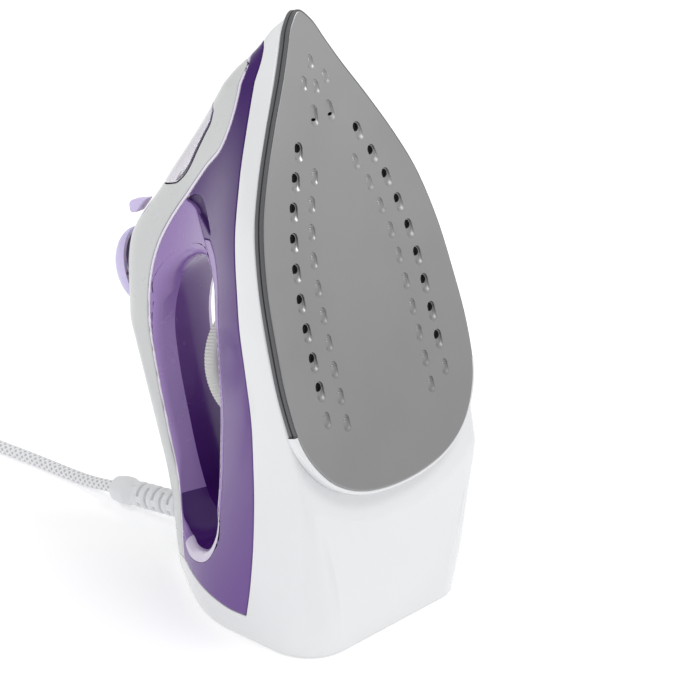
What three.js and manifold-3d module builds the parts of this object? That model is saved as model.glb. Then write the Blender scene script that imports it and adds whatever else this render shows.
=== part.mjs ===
// Steam iron standing on its heel, with its mains cord laid behind it.
//
// The iron is drawn flat on its soleplate: x runs across, y is the height above the sole and
// z runs towards the tip. One group then leans it back until the heel stands on the floor.
// The cord, which lies on the floor, is drawn upright in the outer group, +Z up.
import * as THREE from 'three';
import { mergeVertices } from 'three/addons/utils/BufferGeometryUtils.js';
import Module from 'manifold-3d';

const wasm = await Module();
wasm.setup();

// ---------- driving dimensions, millimetres and degrees ----------
const LEAN = THREE.MathUtils.degToRad(17.7);   // how far the standing sole leans back
const STAND = 71.3;              // height of the sole's rear edge line above the floor
const WALL = 2.4;                // thickness of the moulded shells
const GAP = 0.3;                 // seam between neighbouring pieces
const PLATE = 3;                 // soleplate thickness
const FOOT_LIFT = 0.6;           // the heel plate stands this far below the housing's rim
const RIM_TOP = 5.5;             // top of the dark rim between soleplate and housing
const BODY_BOTTOM = 5.8;         // where the housing starts
const HANDLE_HALF = 18;          // half width of the handle
const HEEL_SLOPE = 0.4435;       // rise of the heel's underside per mm towards the rear
const HEEL_START = 4;            // where the heel's underside leaves the sole plane
const HOLE_R = 1.35;             // steam holes
const DIAL_R = 29;
const DIAL_AT = { y: 84, z: 61 };    // top of the dial, and its axis
const VALVE_Z = 138;             // axis of the drip valve and its rod
const PUMP = { x: 5, z: 117, r: 4.2, low: 98, high: 113, bore: 3.4 };   // one under each button
const PISTON = { r: 3.1, low: 104, head: 108, rod: 1.3, high: 125.6 };
const SPRING = { r: 2.4, wire: 0.4, low: 113.9, height: 7.2, coils: 4 };   // under a pressed button
const BUTTON = { x: 13.3, y: 15.3, z: 19.8, at: [0, 139, 108], base: 126 };  // dome half axes, centre
const PRESS = 4;                 // travel of a button
const SLIDER_REST = -8;          // the steam slider stands this far to the left at rest
const FILLER = { y: 80, z: 166, slope: THREE.MathUtils.degToRad(53.13) };   // the filler's mouth
const NOZZLE = { y: 43.5, z: 194.5, tilt: 1.02 };
const DOOR_PIN = { y: 101.6, z: 149.8 };     // axis of the filler door, at its handle end
const CORD_R = 3;
const COIL = { x: -45, y: 325, mid: 33, half: 12, low: 0.9, height: 12.6 };
const GLAND = { y: 134, z: 14.9, tipY: 190.5, tipZ: 7.5 };

// ---------- materials ----------
const paint = (color, roughness, metalness = 0, opacity = 1) =>
  new THREE.MeshStandardMaterial({ color, roughness, metalness, opacity, transparent: opacity < 1 });
const look = {
  sole: paint(0x9c9c9e, 0.32, 0.9),
  rim: paint(0x55565a, 0.5),
  white: paint(0xf4f4f5, 0.3),
  cover: paint(0xdcdcde, 0.35),
  tank: paint(0x6d5589, 0.15),
  grip: paint(0xa68fbd, 0.3),
  button: paint(0xd6ccf1, 0.3),
  smoke: paint(0xb9aecb, 0.1, 0, 0.6),
  dial: paint(0xd8d9d4, 0.4),
  steel: paint(0x9a9da3, 0.3, 1),
  brass: paint(0xb59a58, 0.35, 1),
  ceramic: paint(0xcfc8b8, 0.7),
  black: paint(0x2a2a2d, 0.6),
  rubber: paint(0x3b3b40, 0.8),
  amber: paint(0xe08a2a, 0.2),
  cord: paint(0xe4e4e6, 0.8),
  plug: paint(0xe9e9ea, 0.4),
};

// ---------- small tools ----------
// A smooth function through a few points, which never overshoots them.
function through(points) {
  const n = points.length;
  const slope = points.slice(1).map(([x, y], i) => (y - points[i][1]) / (x - points[i][0]));
  const tangent = points.map((_, i) => {
    if (i === 0) return slope[0];
    if (i === n - 1) return slope[n - 2];
    const [a, b] = [slope[i - 1], slope[i]];
    return a * b <= 0 ? 0 : (2 * a * b) / (a + b);
  });
  return (x) => {
    if (x <= points[0][0]) return points[0][1];
    if (x >= points[n - 1][0]) return points[n - 1][1];
    const i = points.findIndex((p, k) => k < n - 1 && x < points[k + 1][0]);
    const [x0, y0] = points[i];
    const [x1, y1] = points[i + 1];
    const d = x1 - x0;
    const t = (x - x0) / d;
    const s = 1 - t;
    return s * s * (1 + 2 * t) * y0 + t * t * (3 - 2 * t) * y1
      + d * t * s * (s * tangent[i] - t * tangent[i + 1]);
  };
}

const clamp = THREE.MathUtils.clamp;
const range = (count, at) => Array.from({ length: count }, (_, i) => at(i));

// Merges shared corners and drops triangles that shrink to a line.
function weld(geometry) {
  geometry.deleteAttribute('normal');
  geometry.deleteAttribute('uv');
  const merged = mergeVertices(geometry, 1e-4);
  const corners = merged.index.array;
  const kept = [];
  for (let i = 0; i < corners.length; i += 3) {
    const [a, b, c] = [corners[i], corners[i + 1], corners[i + 2]];
    if (a !== b && b !== c && c !== a) kept.push(a, b, c);
  }
  merged.setIndex(kept);
  return merged;
}

const solid = (geometry) => {
  const welded = weld(geometry);
  return new wasm.Manifold(new wasm.Mesh({
    numProp: 3,
    vertProperties: new Float32Array(welded.attributes.position.array),
    triVerts: new Uint32Array(welded.index.array),
  }));
};

const geometryOf = (manifold) => {
  const mesh = manifold.getMesh();
  const geometry = new THREE.BufferGeometry();
  geometry.setAttribute('position', new THREE.BufferAttribute(new Float32Array(mesh.vertProperties), 3));
  geometry.setIndex(new THREE.BufferAttribute(new Uint32Array(mesh.triVerts), 1));
  return geometry;
};

// A closed skin over rings of equal point counts, with a fan over each end.
function loft(rings) {
  const n = rings[0].length;
  const points = rings.flat();
  const faces = [];
  for (let r = 0; r < rings.length - 1; r++) {
    for (let i = 0; i < n; i++) {
      const [a, b] = [r * n + i, r * n + ((i + 1) % n)];
      faces.push(a, b, b + n, a, b + n, a + n);
    }
  }
  const last = (rings.length - 1) * n;
  const middle = (ring) => ring.reduce((sum, p) => sum.add(p), new THREE.Vector3()).divideScalar(n);
  points.push(middle(rings[0]), middle(rings[rings.length - 1]));
  for (let i = 0; i < n; i++) {
    const next = (i + 1) % n;
    faces.push(points.length - 2, next, i, points.length - 1, last + i, last + next);
  }
  const geometry = new THREE.BufferGeometry().setFromPoints(points);
  geometry.setIndex(signedVolume(points, faces) < 0 ? faces.reverse() : faces);
  return geometry;
}

const signedVolume = (points, faces) => {
  let sum = 0;
  for (let i = 0; i < faces.length; i += 3) {
    const [a, b, c] = [points[faces[i]], points[faces[i + 1]], points[faces[i + 2]]];
    sum += a.dot(b.clone().cross(c));
  }
  return sum;
};

// A plate of an outline drawn as (x, z) points, between two heights.
const plate = (shape, low, high, curveSegments = 12) =>
  new THREE.ExtrudeGeometry(shape, { depth: high - low, bevelEnabled: false, curveSegments })
    .rotateX(Math.PI / 2).translate(0, high, 0);

// The closed outline of one side's points and their mirror image.
const mirroredShape = (side) =>
  new THREE.Shape([...side, ...side.slice().reverse().map((p) => new THREE.Vector2(-p.x, p.y))]);

// A block with a side outline of [z, y] points, from x = low to x = high.
const sideBlock = (points, low, high) => {
  const shape = new THREE.Shape(points.map(([z, y]) => new THREE.Vector2(-z, y)));
  return new THREE.ExtrudeGeometry(shape, { depth: high - low, bevelEnabled: false })
    .rotateY(Math.PI / 2).translate(low, 0, 0);
};

const box = (width, height, length, x, y, z) =>
  new THREE.BoxGeometry(width, height, length).translate(x, y, z);

const rod = (radius, low, high, x = 0, z = 0, sides = 20) =>
  new THREE.CylinderGeometry(radius, radius, high - low, sides).translate(x, (low + high) / 2, z);

const turned = (profile, sides = 32) =>
  new THREE.LatheGeometry(profile.map(([r, y]) => new THREE.Vector2(r, y)), sides);

const tube = (points, radius, steps, sides = 10) => {
  const section = new THREE.Shape(range(sides, (i) => {
    const turn = (2 * Math.PI * i) / sides;
    return new THREE.Vector2(radius * Math.cos(turn), radius * Math.sin(turn));
  }));
  const path = new THREE.CatmullRomCurve3(points);
  return new THREE.ExtrudeGeometry(section, { steps, extrudePath: path, bevelEnabled: false });
};

// ---------- the outer form of the iron ----------
// Half width of the soleplate at z.
const soleHalf = through([
  [4.5, 0], [7.5, 24.7], [14, 39.1], [22.4, 48.1], [36.8, 56], [58.6, 58.8], [87, 57.5],
  [110, 54.9], [134, 49], [152, 41], [172, 29.8], [190.5, 18.4], [202, 12], [210.6, 7.7], [217.6, 0],
]);
// Half width of the housing just above the sole. Its heel stays wide behind the round plate.
const skirtHalf = through([
  [-76, 54], [-40, 54.5], [0, 55.5], [30, 57], [60, 58.3], [81, 57.8], [104, 55.2], [128, 50.7],
  [152, 40.6], [172, 29.2], [191, 18], [202, 11.8], [211, 7.2], [215, 4.8],
]);
// Height of the ridge: heel, handle, thumb rest and the slope down to the nose.
const ridge = through([
  [-76, 153], [-20, 149.5], [0, 149], [85, 149], [95, 146.5], [105, 143.5], [115, 140], [126, 134],
  [133, 127], [140, 117], [148, 105], [155, 96], [165, 82], [175, 68.5], [184, 57], [195, 43],
  [205, 24], [211, 15], [214, 8],
]);
// Between these two heights the flank draws in from the skirt to the handle's width.
const flankTop = through([
  [-76, 152], [-60, 150], [-20, 138], [20, 130], [50, 131], [90, 125], [110, 108], [130, 97],
  [146, 85], [160, 75], [175, 62], [190, 50], [205, 35], [214, 20],
]);
const flankBottom = through([[-76, 80], [-20, 40], [30, 10], [60, 0], [216, 0]]);
const flankPower = through([[-76, 1.4], [0, 1.4], [20, 1.45], [50, 1.75], [90, 2], [216, 2]]);
const cornerRadius = through([[-76, 21], [-30, 12], [10, 4], [45, 1.5], [216, 1]]);

// Sections are upright over the sole and lean more and more towards the heel, down to the floor.
const REAR = -STAND / Math.cos(LEAN);
const shear = (s) => {
  const t = clamp((s - REAR) / 135, 0, 1);
  return Math.tan(LEAN) * (1 - t * t * (3 - 2 * t));
};
const sectionBottom = (s) =>
  Math.max(BODY_BOTTOM, (HEEL_SLOPE * (HEEL_START - s)) / (1 + HEEL_SLOPE * shear(s)));

// Half width of the section s at height y, for the outer skin or one set in by inset.
function halfWidth(s, y, inset = 0) {
  const low = sectionBottom(s) + inset;
  const high = ridge(s) - inset;
  const skirt = skirtHalf(s);
  const narrow = Math.min(HANDLE_HALF, skirt);
  const [start, end] = [flankBottom(s), flankTop(s)];
  const t = clamp((y - start) / (end - start), 0, 1);
  let half = narrow + (skirt - narrow) * Math.cos((Math.PI / 2) * t) ** flankPower(s) - 1.1 * inset;
  const crown = Math.min(17, 0.6 * (high - low));
  if (y > high - crown) half *= Math.sqrt(Math.max(0, 1 - ((y - high + crown) / crown) ** 2));
  const corner = cornerRadius(s);
  if (y < low + corner) half -= corner - Math.sqrt(Math.max(0, corner ** 2 - (low + corner - y) ** 2));
  return Math.max(half, 0.05);
}

// The heights at which a section gets its points: corner, flank and crown.
function sectionHeights(s, inset) {
  const low = sectionBottom(s) + inset;
  const high = ridge(s) - inset;
  const corner = cornerRadius(s);
  const crown = Math.min(17, 0.6 * (high - low));
  const cornerSteps = range(3, (i) => low + corner * (1 - Math.cos((Math.PI / 4) * i)));
  const flankSteps = range(6, (i) => low + corner + ((high - crown - low - corner) * (i + 1)) / 7);
  const crownSteps = range(5, (i) => high - crown + crown * Math.sin((Math.PI / 8) * i));
  return [...cornerSteps, ...flankSteps, ...crownSteps];
}

function sectionRing(s, inset) {
  const side = sectionHeights(s, inset).map((y) => [halfWidth(s, y, inset), y]);
  const at = (x, y) => new THREE.Vector3(x, y, s + shear(s) * y);
  return [...side.map(([x, y]) => at(x, y)), ...side.slice(0, -1).reverse().map(([x, y]) => at(-x, y))];
}

const stations = (first, last, count) => range(count, (i) => first + ((last - first) * i) / (count - 1));
const outerForm = solid(loft([...stations(REAR + FOOT_LIFT, 150, 15), ...stations(157, 214.5, 8)]
  .map((s) => sectionRing(s, 0))));
const innerForm = solid(loft([...stations(REAR - 6, 150, 11), ...stations(160, 209, 6)]
  .map((s) => sectionRing(s, WALL))));

// ---------- the opening under the handle ----------
// Side outline of the opening on the centre line, [z, y], round the way of the clock.
const openingOutline = [
  [117, 68], [116, 82], [110, 95], [99, 106], [84, 114], [64, 118], [40, 120], [12, 121], [-3, 119],
  [-13, 112], [-18, 102], [-17, 92], [-9, 86], [10, 81], [40, 70.5], [70, 60], [92, 54], [107, 54], [114, 58],
];
const openingCentre = [50, 92];
const archUnder = 0.003;         // how fast the saddle falls away to the sides
const archOver = 0.036;          // how round the handle is underneath

function openingForm(grow) {
  const ring = (x) => openingOutline.map(([z, y]) => {
    const [dz, dy] = [z - openingCentre[0], y - openingCentre[1]];
    const reach = Math.hypot(dz, dy * 2.4);
    const [gz, gy] = [(grow * dz) / reach, (grow * 2.4 * dy) / reach];
    const over = archOver * Math.min(Math.abs(x), 20) ** 2;
    return new THREE.Vector3(x, y + gy + (dy > 0 ? over : -archUnder * x * x), z + gz);
  });
  return solid(loft([-75, -45, -30, -20, -14, -7, 0, 7, 14, 20, 30, 45, 75].map(ring)));
}
const shell = outerForm.subtract(openingForm(0))
  .subtract(innerForm.subtract(openingForm(WALL)));

// ---------- seams of the shells, [z, y] seen from the side ----------
const housingSeam = [
  [208.5, 32], [207.5, 20], [205.5, 14], [200, 15.8], [190, 18.4], [172, 20.8], [153, 21.3], [134, 21.6],
  [114, 23.5], [93, 25.2], [72, 27.5], [50, 31.3], [28, 37.5], [8, 43.7], [-10, 49.9], [-28, 57.8],
  [-42, 65.3],
];
const footSeam = [[-39.5, 74.5], [-35.2, 88], [-31.2, 104], [-28.4, 117], [-26, 127.5]];
const coverSeam = [
  [-13, 128.3], [-1, 128.5], [11, 130.5], [19, 131], [38, 129.2], [60, 127.2], [87, 125.4], [108, 115.7],
  [122, 105], [134, 91.4], [145, 75.3], [156, 58], [164, 42.7], [175, 34.1], [181, 31], [191, 26.5],
  [199.8, 23.9], [201, 60],
];
const gripEdge = [
  [145, 74.5], [131, 66], [118, 57], [108, 64], [90, 75], [20, 95], [-10, 90], [-18.6, 90.5], [-19.8, 102],
  [-17, 113], [-13.5, 121], [-12.5, 128],
];
const saddleEdge = [
  [112, 57], [107, 51], [92, 51.5], [70, 57], [40, 65.5], [10, 74], [-9, 79], [-13, 84], [-10, 90],
  [20, 95], [90, 75], [108, 64],
];
// The filler door wraps over the ridge and down both flanks.
const doorEdge = [
  [150, 125], [150, 83.6], [153.3, 77], [157.6, 71.1], [163.2, 65.1], [171.3, 56.1], [175.9, 50.9],
  [180.6, 48.2], [187, 53], [187, 60],
];
const FAR = 320;
const region = (points) => solid(sideBlock(points, -80, 80));
const coverRegion = region([...coverSeam, [FAR, 60], [FAR, FAR], [-FAR, FAR], [-FAR, 127.5]]);
const gripRegion = region([...gripEdge, ...coverSeam.filter(([z]) => z > -1 && z < 140)]);
const saddleRegion = region(saddleEdge);
const doorRegion = region(doorEdge);
const lowRegion = region([
  [208.5, 90], ...housingSeam, ...footSeam, [-25.5, 175], [-FAR, 175], [-FAR, -FAR], [FAR, -FAR], [FAR, 90],
]);

// A form with the seam's gap added all round it.
const grown = (form) => [[0, GAP], [0, -GAP], [GAP, 0], [-GAP, 0]]
  .reduce((sum, [z, y]) => sum.add(form.translate([0, y, z])), form);

// ---------- assembly groups ----------
const assembly = new THREE.Group();
const standing = new THREE.Group();      // what stands on the floor
const lead = new THREE.Group();          // the loose cord and what is on it
const iron = new THREE.Group();          // drawn flat, leaned back here
iron.rotation.x = -LEAN;
iron.position.z = STAND;
standing.add(iron);
assembly.add(standing, lead);

function add(name, shape, material, parent = iron) {
  const mesh = new THREE.Mesh(shape.isBufferGeometry ? shape : geometryOf(shape), material);
  mesh.name = name;
  parent.add(mesh);
  return mesh;
}

// ---------- cutters shared by several shells ----------
const onSlope = (geometry) => geometry.rotateX(FILLER.slope).translate(0, FILLER.y, FILLER.z);
const alongX = (radius, length, y, z, sides = 16) =>
  new THREE.CylinderGeometry(radius, radius, length, sides).rotateZ(Math.PI / 2).translate(0, y, z);
const doorPin = (radius, length) => alongX(radius, length, DOOR_PIN.y, DOOR_PIN.z);
const buttonDome = (extra) => new THREE.SphereGeometry(1, 20, 14)
  .scale(BUTTON.x + extra, BUTTON.y + extra, BUTTON.z + extra).translate(...BUTTON.at);
// The room that both buttons sweep when pressed.
const buttonWell = solid(buttonDome(GAP + 0.1)).add(solid(buttonDome(GAP + 0.1).translate(0, -PRESS, 0)));
const sliderSlot = box(22, 20, 4.4, 0, 116, 138);
const lampBore = (extra) => rod(3.2 + extra, 143, 149.4, 0, 16);
const nozzleRod = (radius, low, high) => rod(radius, low, high, 0, 0, 16)
  .rotateX(NOZZLE.tilt).translate(0, NOZZLE.y, NOZZLE.z);
const glandTilt = Math.atan2(GLAND.tipZ - GLAND.z, GLAND.tipY - GLAND.y);
const glandLength = Math.hypot(GLAND.tipZ - GLAND.z, GLAND.tipY - GLAND.y);
// Turns a piece drawn along y from the floor's frame into the leaning frame of the iron.
const floorToIron = (geometry) => geometry.translate(0, 0, -STAND).rotateX(LEAN);
const alongGland = (geometry) => geometry.rotateX(glandTilt).translate(0, GLAND.y, GLAND.z);

// ---------- soleplate and heater ----------
// The plate's outline with its width drawn in, or scaled about its middle.
function soleShape(inset, scale = 1, middle = 90) {
  const [start, end] = [4.5 + inset, 217.6 - 2.2 * inset];
  const side = range(22, (i) => {
    const z = start + ((end - start) * (1 - Math.cos((Math.PI * i) / 21))) / 2;
    const x = i === 0 || i === 21 ? 0 : Math.max(soleHalf(z) - inset, 0.1);
    return new THREE.Vector2(scale * x, middle + scale * (z - middle));
  });
  const mirrored = side.slice(1, -1).reverse().map((p) => new THREE.Vector2(-p.x, p.y));
  return new THREE.Shape([...side, ...mirrored]);
}
const ringShape = (outer, inner) => {
  outer.holes.push(new THREE.Path(inner.getPoints().reverse()));
  return outer;
};
// Outer row of steam holes, evenly spaced along its curve; the rearmost place has no hole.
const outerRow = new THREE.CatmullRomCurve3([
  [38.5, 45], [38.3, 71], [37.4, 97.1], [33.3, 122.7], [24.9, 147.2], [18.8, 158.7],
].map(([x, z]) => new THREE.Vector3(x, 0, z)));
const rowHoles = range(9, (i) => outerRow.getPointAt((i + 1) / 9)).map((p) => [p.x, p.z + 2.6]);
const tipHoles = [[5, 168.8]];
const CHAMBER = { outer: 0.68, inner: 0.61, top: 11 };

function soleplate() {
  const base = solid(plate(soleShape(0), 0, PLATE));
  const wall = solid(plate(ringShape(soleShape(0, CHAMBER.outer), soleShape(0, CHAMBER.inner)), PLATE - 0.5,
    CHAMBER.top));
  const holes = [...rowHoles, ...tipHoles].flatMap(([x, z]) => [[x, z], [-x, z]]);
  return holes.reduce((form, [x, z]) => form.subtract(solid(rod(HOLE_R, -1, PLATE + 1, x, z, 8))),
    base.add(wall));
}

function heatingElement() {
  const side = [22, 45, 75, 105, 130, 150, 167, 179];
  const right = side.map((z) => new THREE.Vector3(0.78 * soleHalf(90 + (z - 90) / 0.86), 7.5, z));
  const tip = new THREE.Vector3(0, 7.5, 187);
  const left = right.slice().reverse().map((p) => new THREE.Vector3(-p.x, p.y, p.z));
  return tube([...right, tip, ...left], 3.1, 44, 6);
}

add('soleplate', soleplate(), look.sole);
add('sole_rim', plate(ringShape(soleShape(0.8), soleShape(6.4)), PLATE + GAP, RIM_TOP), look.rim);
add('heating_element', heatingElement(), look.steel);
const valveHole = (radius) => solid(rod(radius, 0, 40, 0, VALVE_Z));
add('steam_chamber_cover', solid(plate(soleShape(0, CHAMBER.outer), CHAMBER.top + GAP, 12.5))
  .subtract(valveHole(2.4)), look.steel);
add('thermostat', box(20, 8, 18, 0, 16.9, DIAL_AT.z), look.ceramic);
add('thermal_fuse', alongX(3, 16, 16, 36), look.ceramic);

// ---------- shells ----------
const soleCut = solid(plate(soleShape(7.4), 0, 14));
const pinCut = solid(doorPin(1.3, 16));
const glandCut = solid(floorToIron(alongGland(rod(6.4, -6, 20))));
const spindleCut = solid(rod(2.7, 20, 90, 0, DIAL_AT.z));
const nozzleCut = solid(nozzleRod(2.8, -12, 6));

add('lower_housing', shell.intersect(lowRegion).subtract(soleCut), look.white);
add('handle_cover', [grown(lowRegion), grown(doorRegion), pinCut, buttonWell,
  solid(sliderSlot), solid(lampBore(GAP)), glandCut, nozzleCut]
  .reduce((form, cut) => form.subtract(cut), shell.intersect(coverRegion)), look.cover);
add('handle_grip', shell.intersect(gripRegion).subtract(grown(coverRegion)), look.grip);
add('grip_saddle', shell.intersect(saddleRegion).subtract(spindleCut), look.grip);
add('water_tank', [lowRegion, coverRegion, gripRegion, saddleRegion].map(grown).concat(nozzleCut)
  .reduce((form, cut) => form.subtract(cut), shell), look.tank);

const HEEL_FILL = 0.91;          // the heel plate's outline against that of the foot
function heelPlate() {
  const rise = (y) => y / Math.cos(LEAN) + REAR * Math.sin(LEAN);
  const [low, high] = [sectionBottom(REAR), ridge(REAR)];
  const middle = rise((low + high) / 2);
  const side = range(15, (i) => {
    const y = low + ((high - low) * (1 - Math.cos((Math.PI * i) / 14))) / 2;
    return new THREE.Vector2(HEEL_FILL * halfWidth(REAR, y), middle + HEEL_FILL * (rise(y) - middle));
  });
  return new THREE.ExtrudeGeometry(mirroredShape(side), { depth: 3.4, bevelEnabled: false });
}
const heelScrews = [[-34, 42], [34, 42], [0, 104]];
const upright = (radius, low, high, x, y, sides = 16) =>
  new THREE.CylinderGeometry(radius, radius, high - low, sides).rotateX(Math.PI / 2)
    .translate(x, y, (low + high) / 2);
add('heel_plate', heelScrews.reduce((form, [x, y]) => form
  .subtract(solid(upright(3.6, -1, 2, x, y))).subtract(solid(upright(1.9, -1, 9, x, y))),
solid(heelPlate())), look.white, standing);
heelScrews.forEach(([x, y], i) => {
  const head = solid(upright(3.2, 0.6, 1.7, x, y)).add(solid(upright(1.5, 1.2, 12, x, y)));
  add(`heel_screw_${i + 1}`, head, look.steel, standing);
});

// ---------- water system ----------
add('filler_door', shell.intersect(doorRegion).subtract(pinCut), look.smoke);
add('filler_door_pin', doorPin(0.9, 14), look.steel);
const oval = (a, b) => new THREE.Shape().absellipse(0, 0, a, b, 0, 2 * Math.PI);
const funnel = ringShape(oval(9, 14), oval(7.8, 12.8));
add('filler_funnel', onSlope(plate(funnel, -20, -8, 10)), look.white);
add('spray_nozzle', nozzleRod(2.4, -7, 1.4), look.white);

function tankBase() {
  const side = range(16, (i) => {
    const z = 84 + (196 - 84) * (i / 15);
    return new THREE.Vector2(halfWidth(z, 16, WALL) - 1.7, z);
  });
  return mirroredShape(side);
}
add('tank_base', solid(plate(tankBase(), 16, 17.4)).subtract(valveHole(5.4)), look.white);
add('drip_valve_seat', turned([[2, 12.8], [5, 12.8], [5, 24], [2, 24], [2, 12.8]], 20)
  .translate(0, 0, VALVE_Z), look.rubber);
add('drip_valve_rod', rod(1.5, 15, 104, 0, VALVE_Z, 12), look.brass);

function steamSlider() {
  const tab = solid(sideBlock([[136.3, 124.1], [142.3, 115.4], [142.3, 126], [141, 128], [137.5, 128.8],
    [136.3, 128]], SLIDER_REST - 2.8, SLIDER_REST + 2.8));
  return tab.add(solid(box(4, 16, 3, SLIDER_REST, 115, 138)));
}
add('steam_slider', steamSlider(), look.button);

// ---------- buttons with their pumps ----------
const pumpProfile = [[0, PUMP.low], [PUMP.r, PUMP.low], [PUMP.r, PUMP.high], [PUMP.bore, PUMP.high],
  [PUMP.bore, PUMP.low + 1.4], [0, PUMP.low + 1.4]];
const pistonProfile = [[0, PISTON.low], [PISTON.r, PISTON.low], [PISTON.r, PISTON.head],
  [PISTON.rod, PISTON.head], [PISTON.rod, PISTON.high], [0, PISTON.high]];
function buttonSpring() {
  const steps = SPRING.coils * 8;
  const helix = range(steps + 1, (i) => {
    const turn = (Math.PI / 4) * i;
    const y = SPRING.low + (SPRING.height * i) / steps;
    return new THREE.Vector3(SPRING.r * Math.cos(turn), y, SPRING.r * Math.sin(turn));
  });
  return tube(helix, SPRING.wire, steps, 4);
}
const SIDES = [['spray', -1], ['steam', 1]];
for (const [name, side] of SIDES) {
  const x = side * PUMP.x;
  const half = solid(box(20, 60, 60, side * 10.35, BUTTON.base + 30, BUTTON.at[2]));
  add(`${name}_button`, solid(buttonDome(0)).intersect(half), look.button);
  add(`${name}_pump`, turned(pumpProfile, 20).translate(x, 0, PUMP.z), look.white);
  add(`${name}_piston`, turned(pistonProfile, 16).translate(x, 0, PUMP.z), look.brass);
  add(`${name}_spring`, buttonSpring().translate(x, 0, PUMP.z), look.steel);
}

// ---------- thermostat dial ----------
add('thermostat_dial', turned([
  [0, 73.8], [10, 73.8], [24, 75.4], [DIAL_R, 79], [DIAL_R, 83], [27, 84], [0, 84],
], 36).translate(0, 0, DIAL_AT.z), look.dial);
add('dial_spindle', rod(2.2, 21.3, 73.4, 0, DIAL_AT.z, 16), look.black);
add('dial_seat', solid(rod(16, 52, 73.4, 0, DIAL_AT.z, 32)).intersect(openingForm(-GAP - 0.1))
  .subtract(spindleCut), look.grip);

// ---------- electrics at the rear of the handle ----------
add('pilot_lamp', lampBore(0), look.amber);
add('terminal_block', box(18, 8, 14, 0, 133, 8), look.ceramic);
const clampScrews = [-7, 7];
add('cord_clamp', clampScrews.reduce((form, x) => form.subtract(solid(rod(1.9, 125, 140, x, -4))),
  solid(box(20, 2.6, 7, 0, 135.6, -4))), look.black);
clampScrews.forEach((x, i) => add(`clamp_screw_${i + 1}`,
  solid(rod(1.5, 127, 138, x, -4, 12)).add(solid(rod(2.8, 137.3, 139.2, x, -4, 16))), look.steel));

// ---------- cord ----------
function glandProfile() {
  const ribAt = (y) => [[6, y], [6, y + 5], [5.1, y + 5], [5.1, y + 8]];
  const ribs = range(4, (i) => ribAt(11 + 8 * i)).flat();
  return [[0, -2.5], [7.4, -2.5], [7.4, -0.4], [6, -0.4], ...ribs, [6, 43], [7, 46], [7, 52],
    [6, glandLength], [4.2, glandLength], [4.2, glandLength - 5], [0, glandLength - 5]];
}
add('cord_gland', alongGland(turned(glandProfile(), 14)), look.cord, standing);
const START = glandLength - 5 + GAP;
const cordStart = [0, GLAND.y + START * Math.cos(glandTilt), GLAND.z + START * Math.sin(glandTilt)];
const cordRoute = [
  cordStart, [0, 196, 6.7], [0.2, 206, 4.9], [0.4, 217, 3.6], [0.2, 230, 3.1], [-0.4, 246, 3.1],
  [-1.4, 262, 3.1], [-2.5, 278, 3.1], [-3, 291, 3.1], [-3, 300.5, 3.3],
];
const plugRoute = [[-87, 300.5, 6.6], [-87, 294, 5.4], [-87, 287, 4.9], [-87, 281.2, 4.9]];
const points = (list) => list.map((p) => new THREE.Vector3(...p));
add('mains_cord', tube(points(cordRoute), CORD_R, 16, 10), look.cord, lead);
add('mains_cord_end', tube(points(plugRoute), CORD_R, 4, 10), look.cord, lead);

function coilRing() {
  const [inner, outer] = [COIL.mid - COIL.half, COIL.mid + COIL.half];
  const r = CORD_R * 0.8;
  const profile = [[inner, r], [inner + r, 0], [outer - r, 0], [outer, r], [outer, COIL.height - r],
    [outer - r, COIL.height], [inner + r, COIL.height], [inner, COIL.height - r], [inner, r]];
  return turned(profile, 28).rotateX(Math.PI / 2).translate(COIL.x, COIL.y, COIL.low);
}
add('cord_coil', coilRing(), look.cord, lead);

function cordTie() {
  const [wide, tall] = [COIL.half + 0.9, COIL.height / 2 + 0.85];
  const frame = (dx, dy) => new THREE.Shape([[-dx, -dy], [dx, -dy], [dx, dy], [-dx, dy]]
    .map(([x, y]) => new THREE.Vector2(x, y)));
  return new THREE.ExtrudeGeometry(ringShape(frame(wide, tall), frame(wide - 0.5, tall - 0.5)),
    { depth: 5, bevelEnabled: false })
    .rotateX(Math.PI / 2).translate(COIL.x - COIL.mid, COIL.y + 2.5, COIL.low + COIL.height / 2);
}
add('cord_tie', cordTie(), look.black, lead);

const plug = new THREE.Group();
plug.position.set(-87, 280, 4.9);
plug.rotation.set(THREE.MathUtils.degToRad(-13.4), 0, Math.PI);
lead.add(plug);
const plugProfile = [[0, 0], [4.6, 0], [5.2, 10], [7.6, 16], [11, 28], [13.6, 38], [14.8, 44], [0, 44]];
add('plug_body', turned(plugProfile, 20), look.plug, plug);
for (const [name, x] of [['left', -9.5], ['right', 9.5]]) {
  add(`plug_pin_${name}`, rod(2.4, 44.3, 63, x, 0, 16), look.steel, plug);
}

// The origin is on the floor under the middle of the iron.
const span = new THREE.Box3().setFromObject(standing, true);
assembly.position.y = -(span.min.y + span.max.y) / 2;

export default assembly;
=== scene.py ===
"""Steam iron standing on its heel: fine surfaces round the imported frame."""
from math import atan2, cos, hypot, pi, radians, sin, tan
import bmesh
import bpy
import numpy as np
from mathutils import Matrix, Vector
from mathutils.geometry import delaunay_2d_cdt


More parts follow.
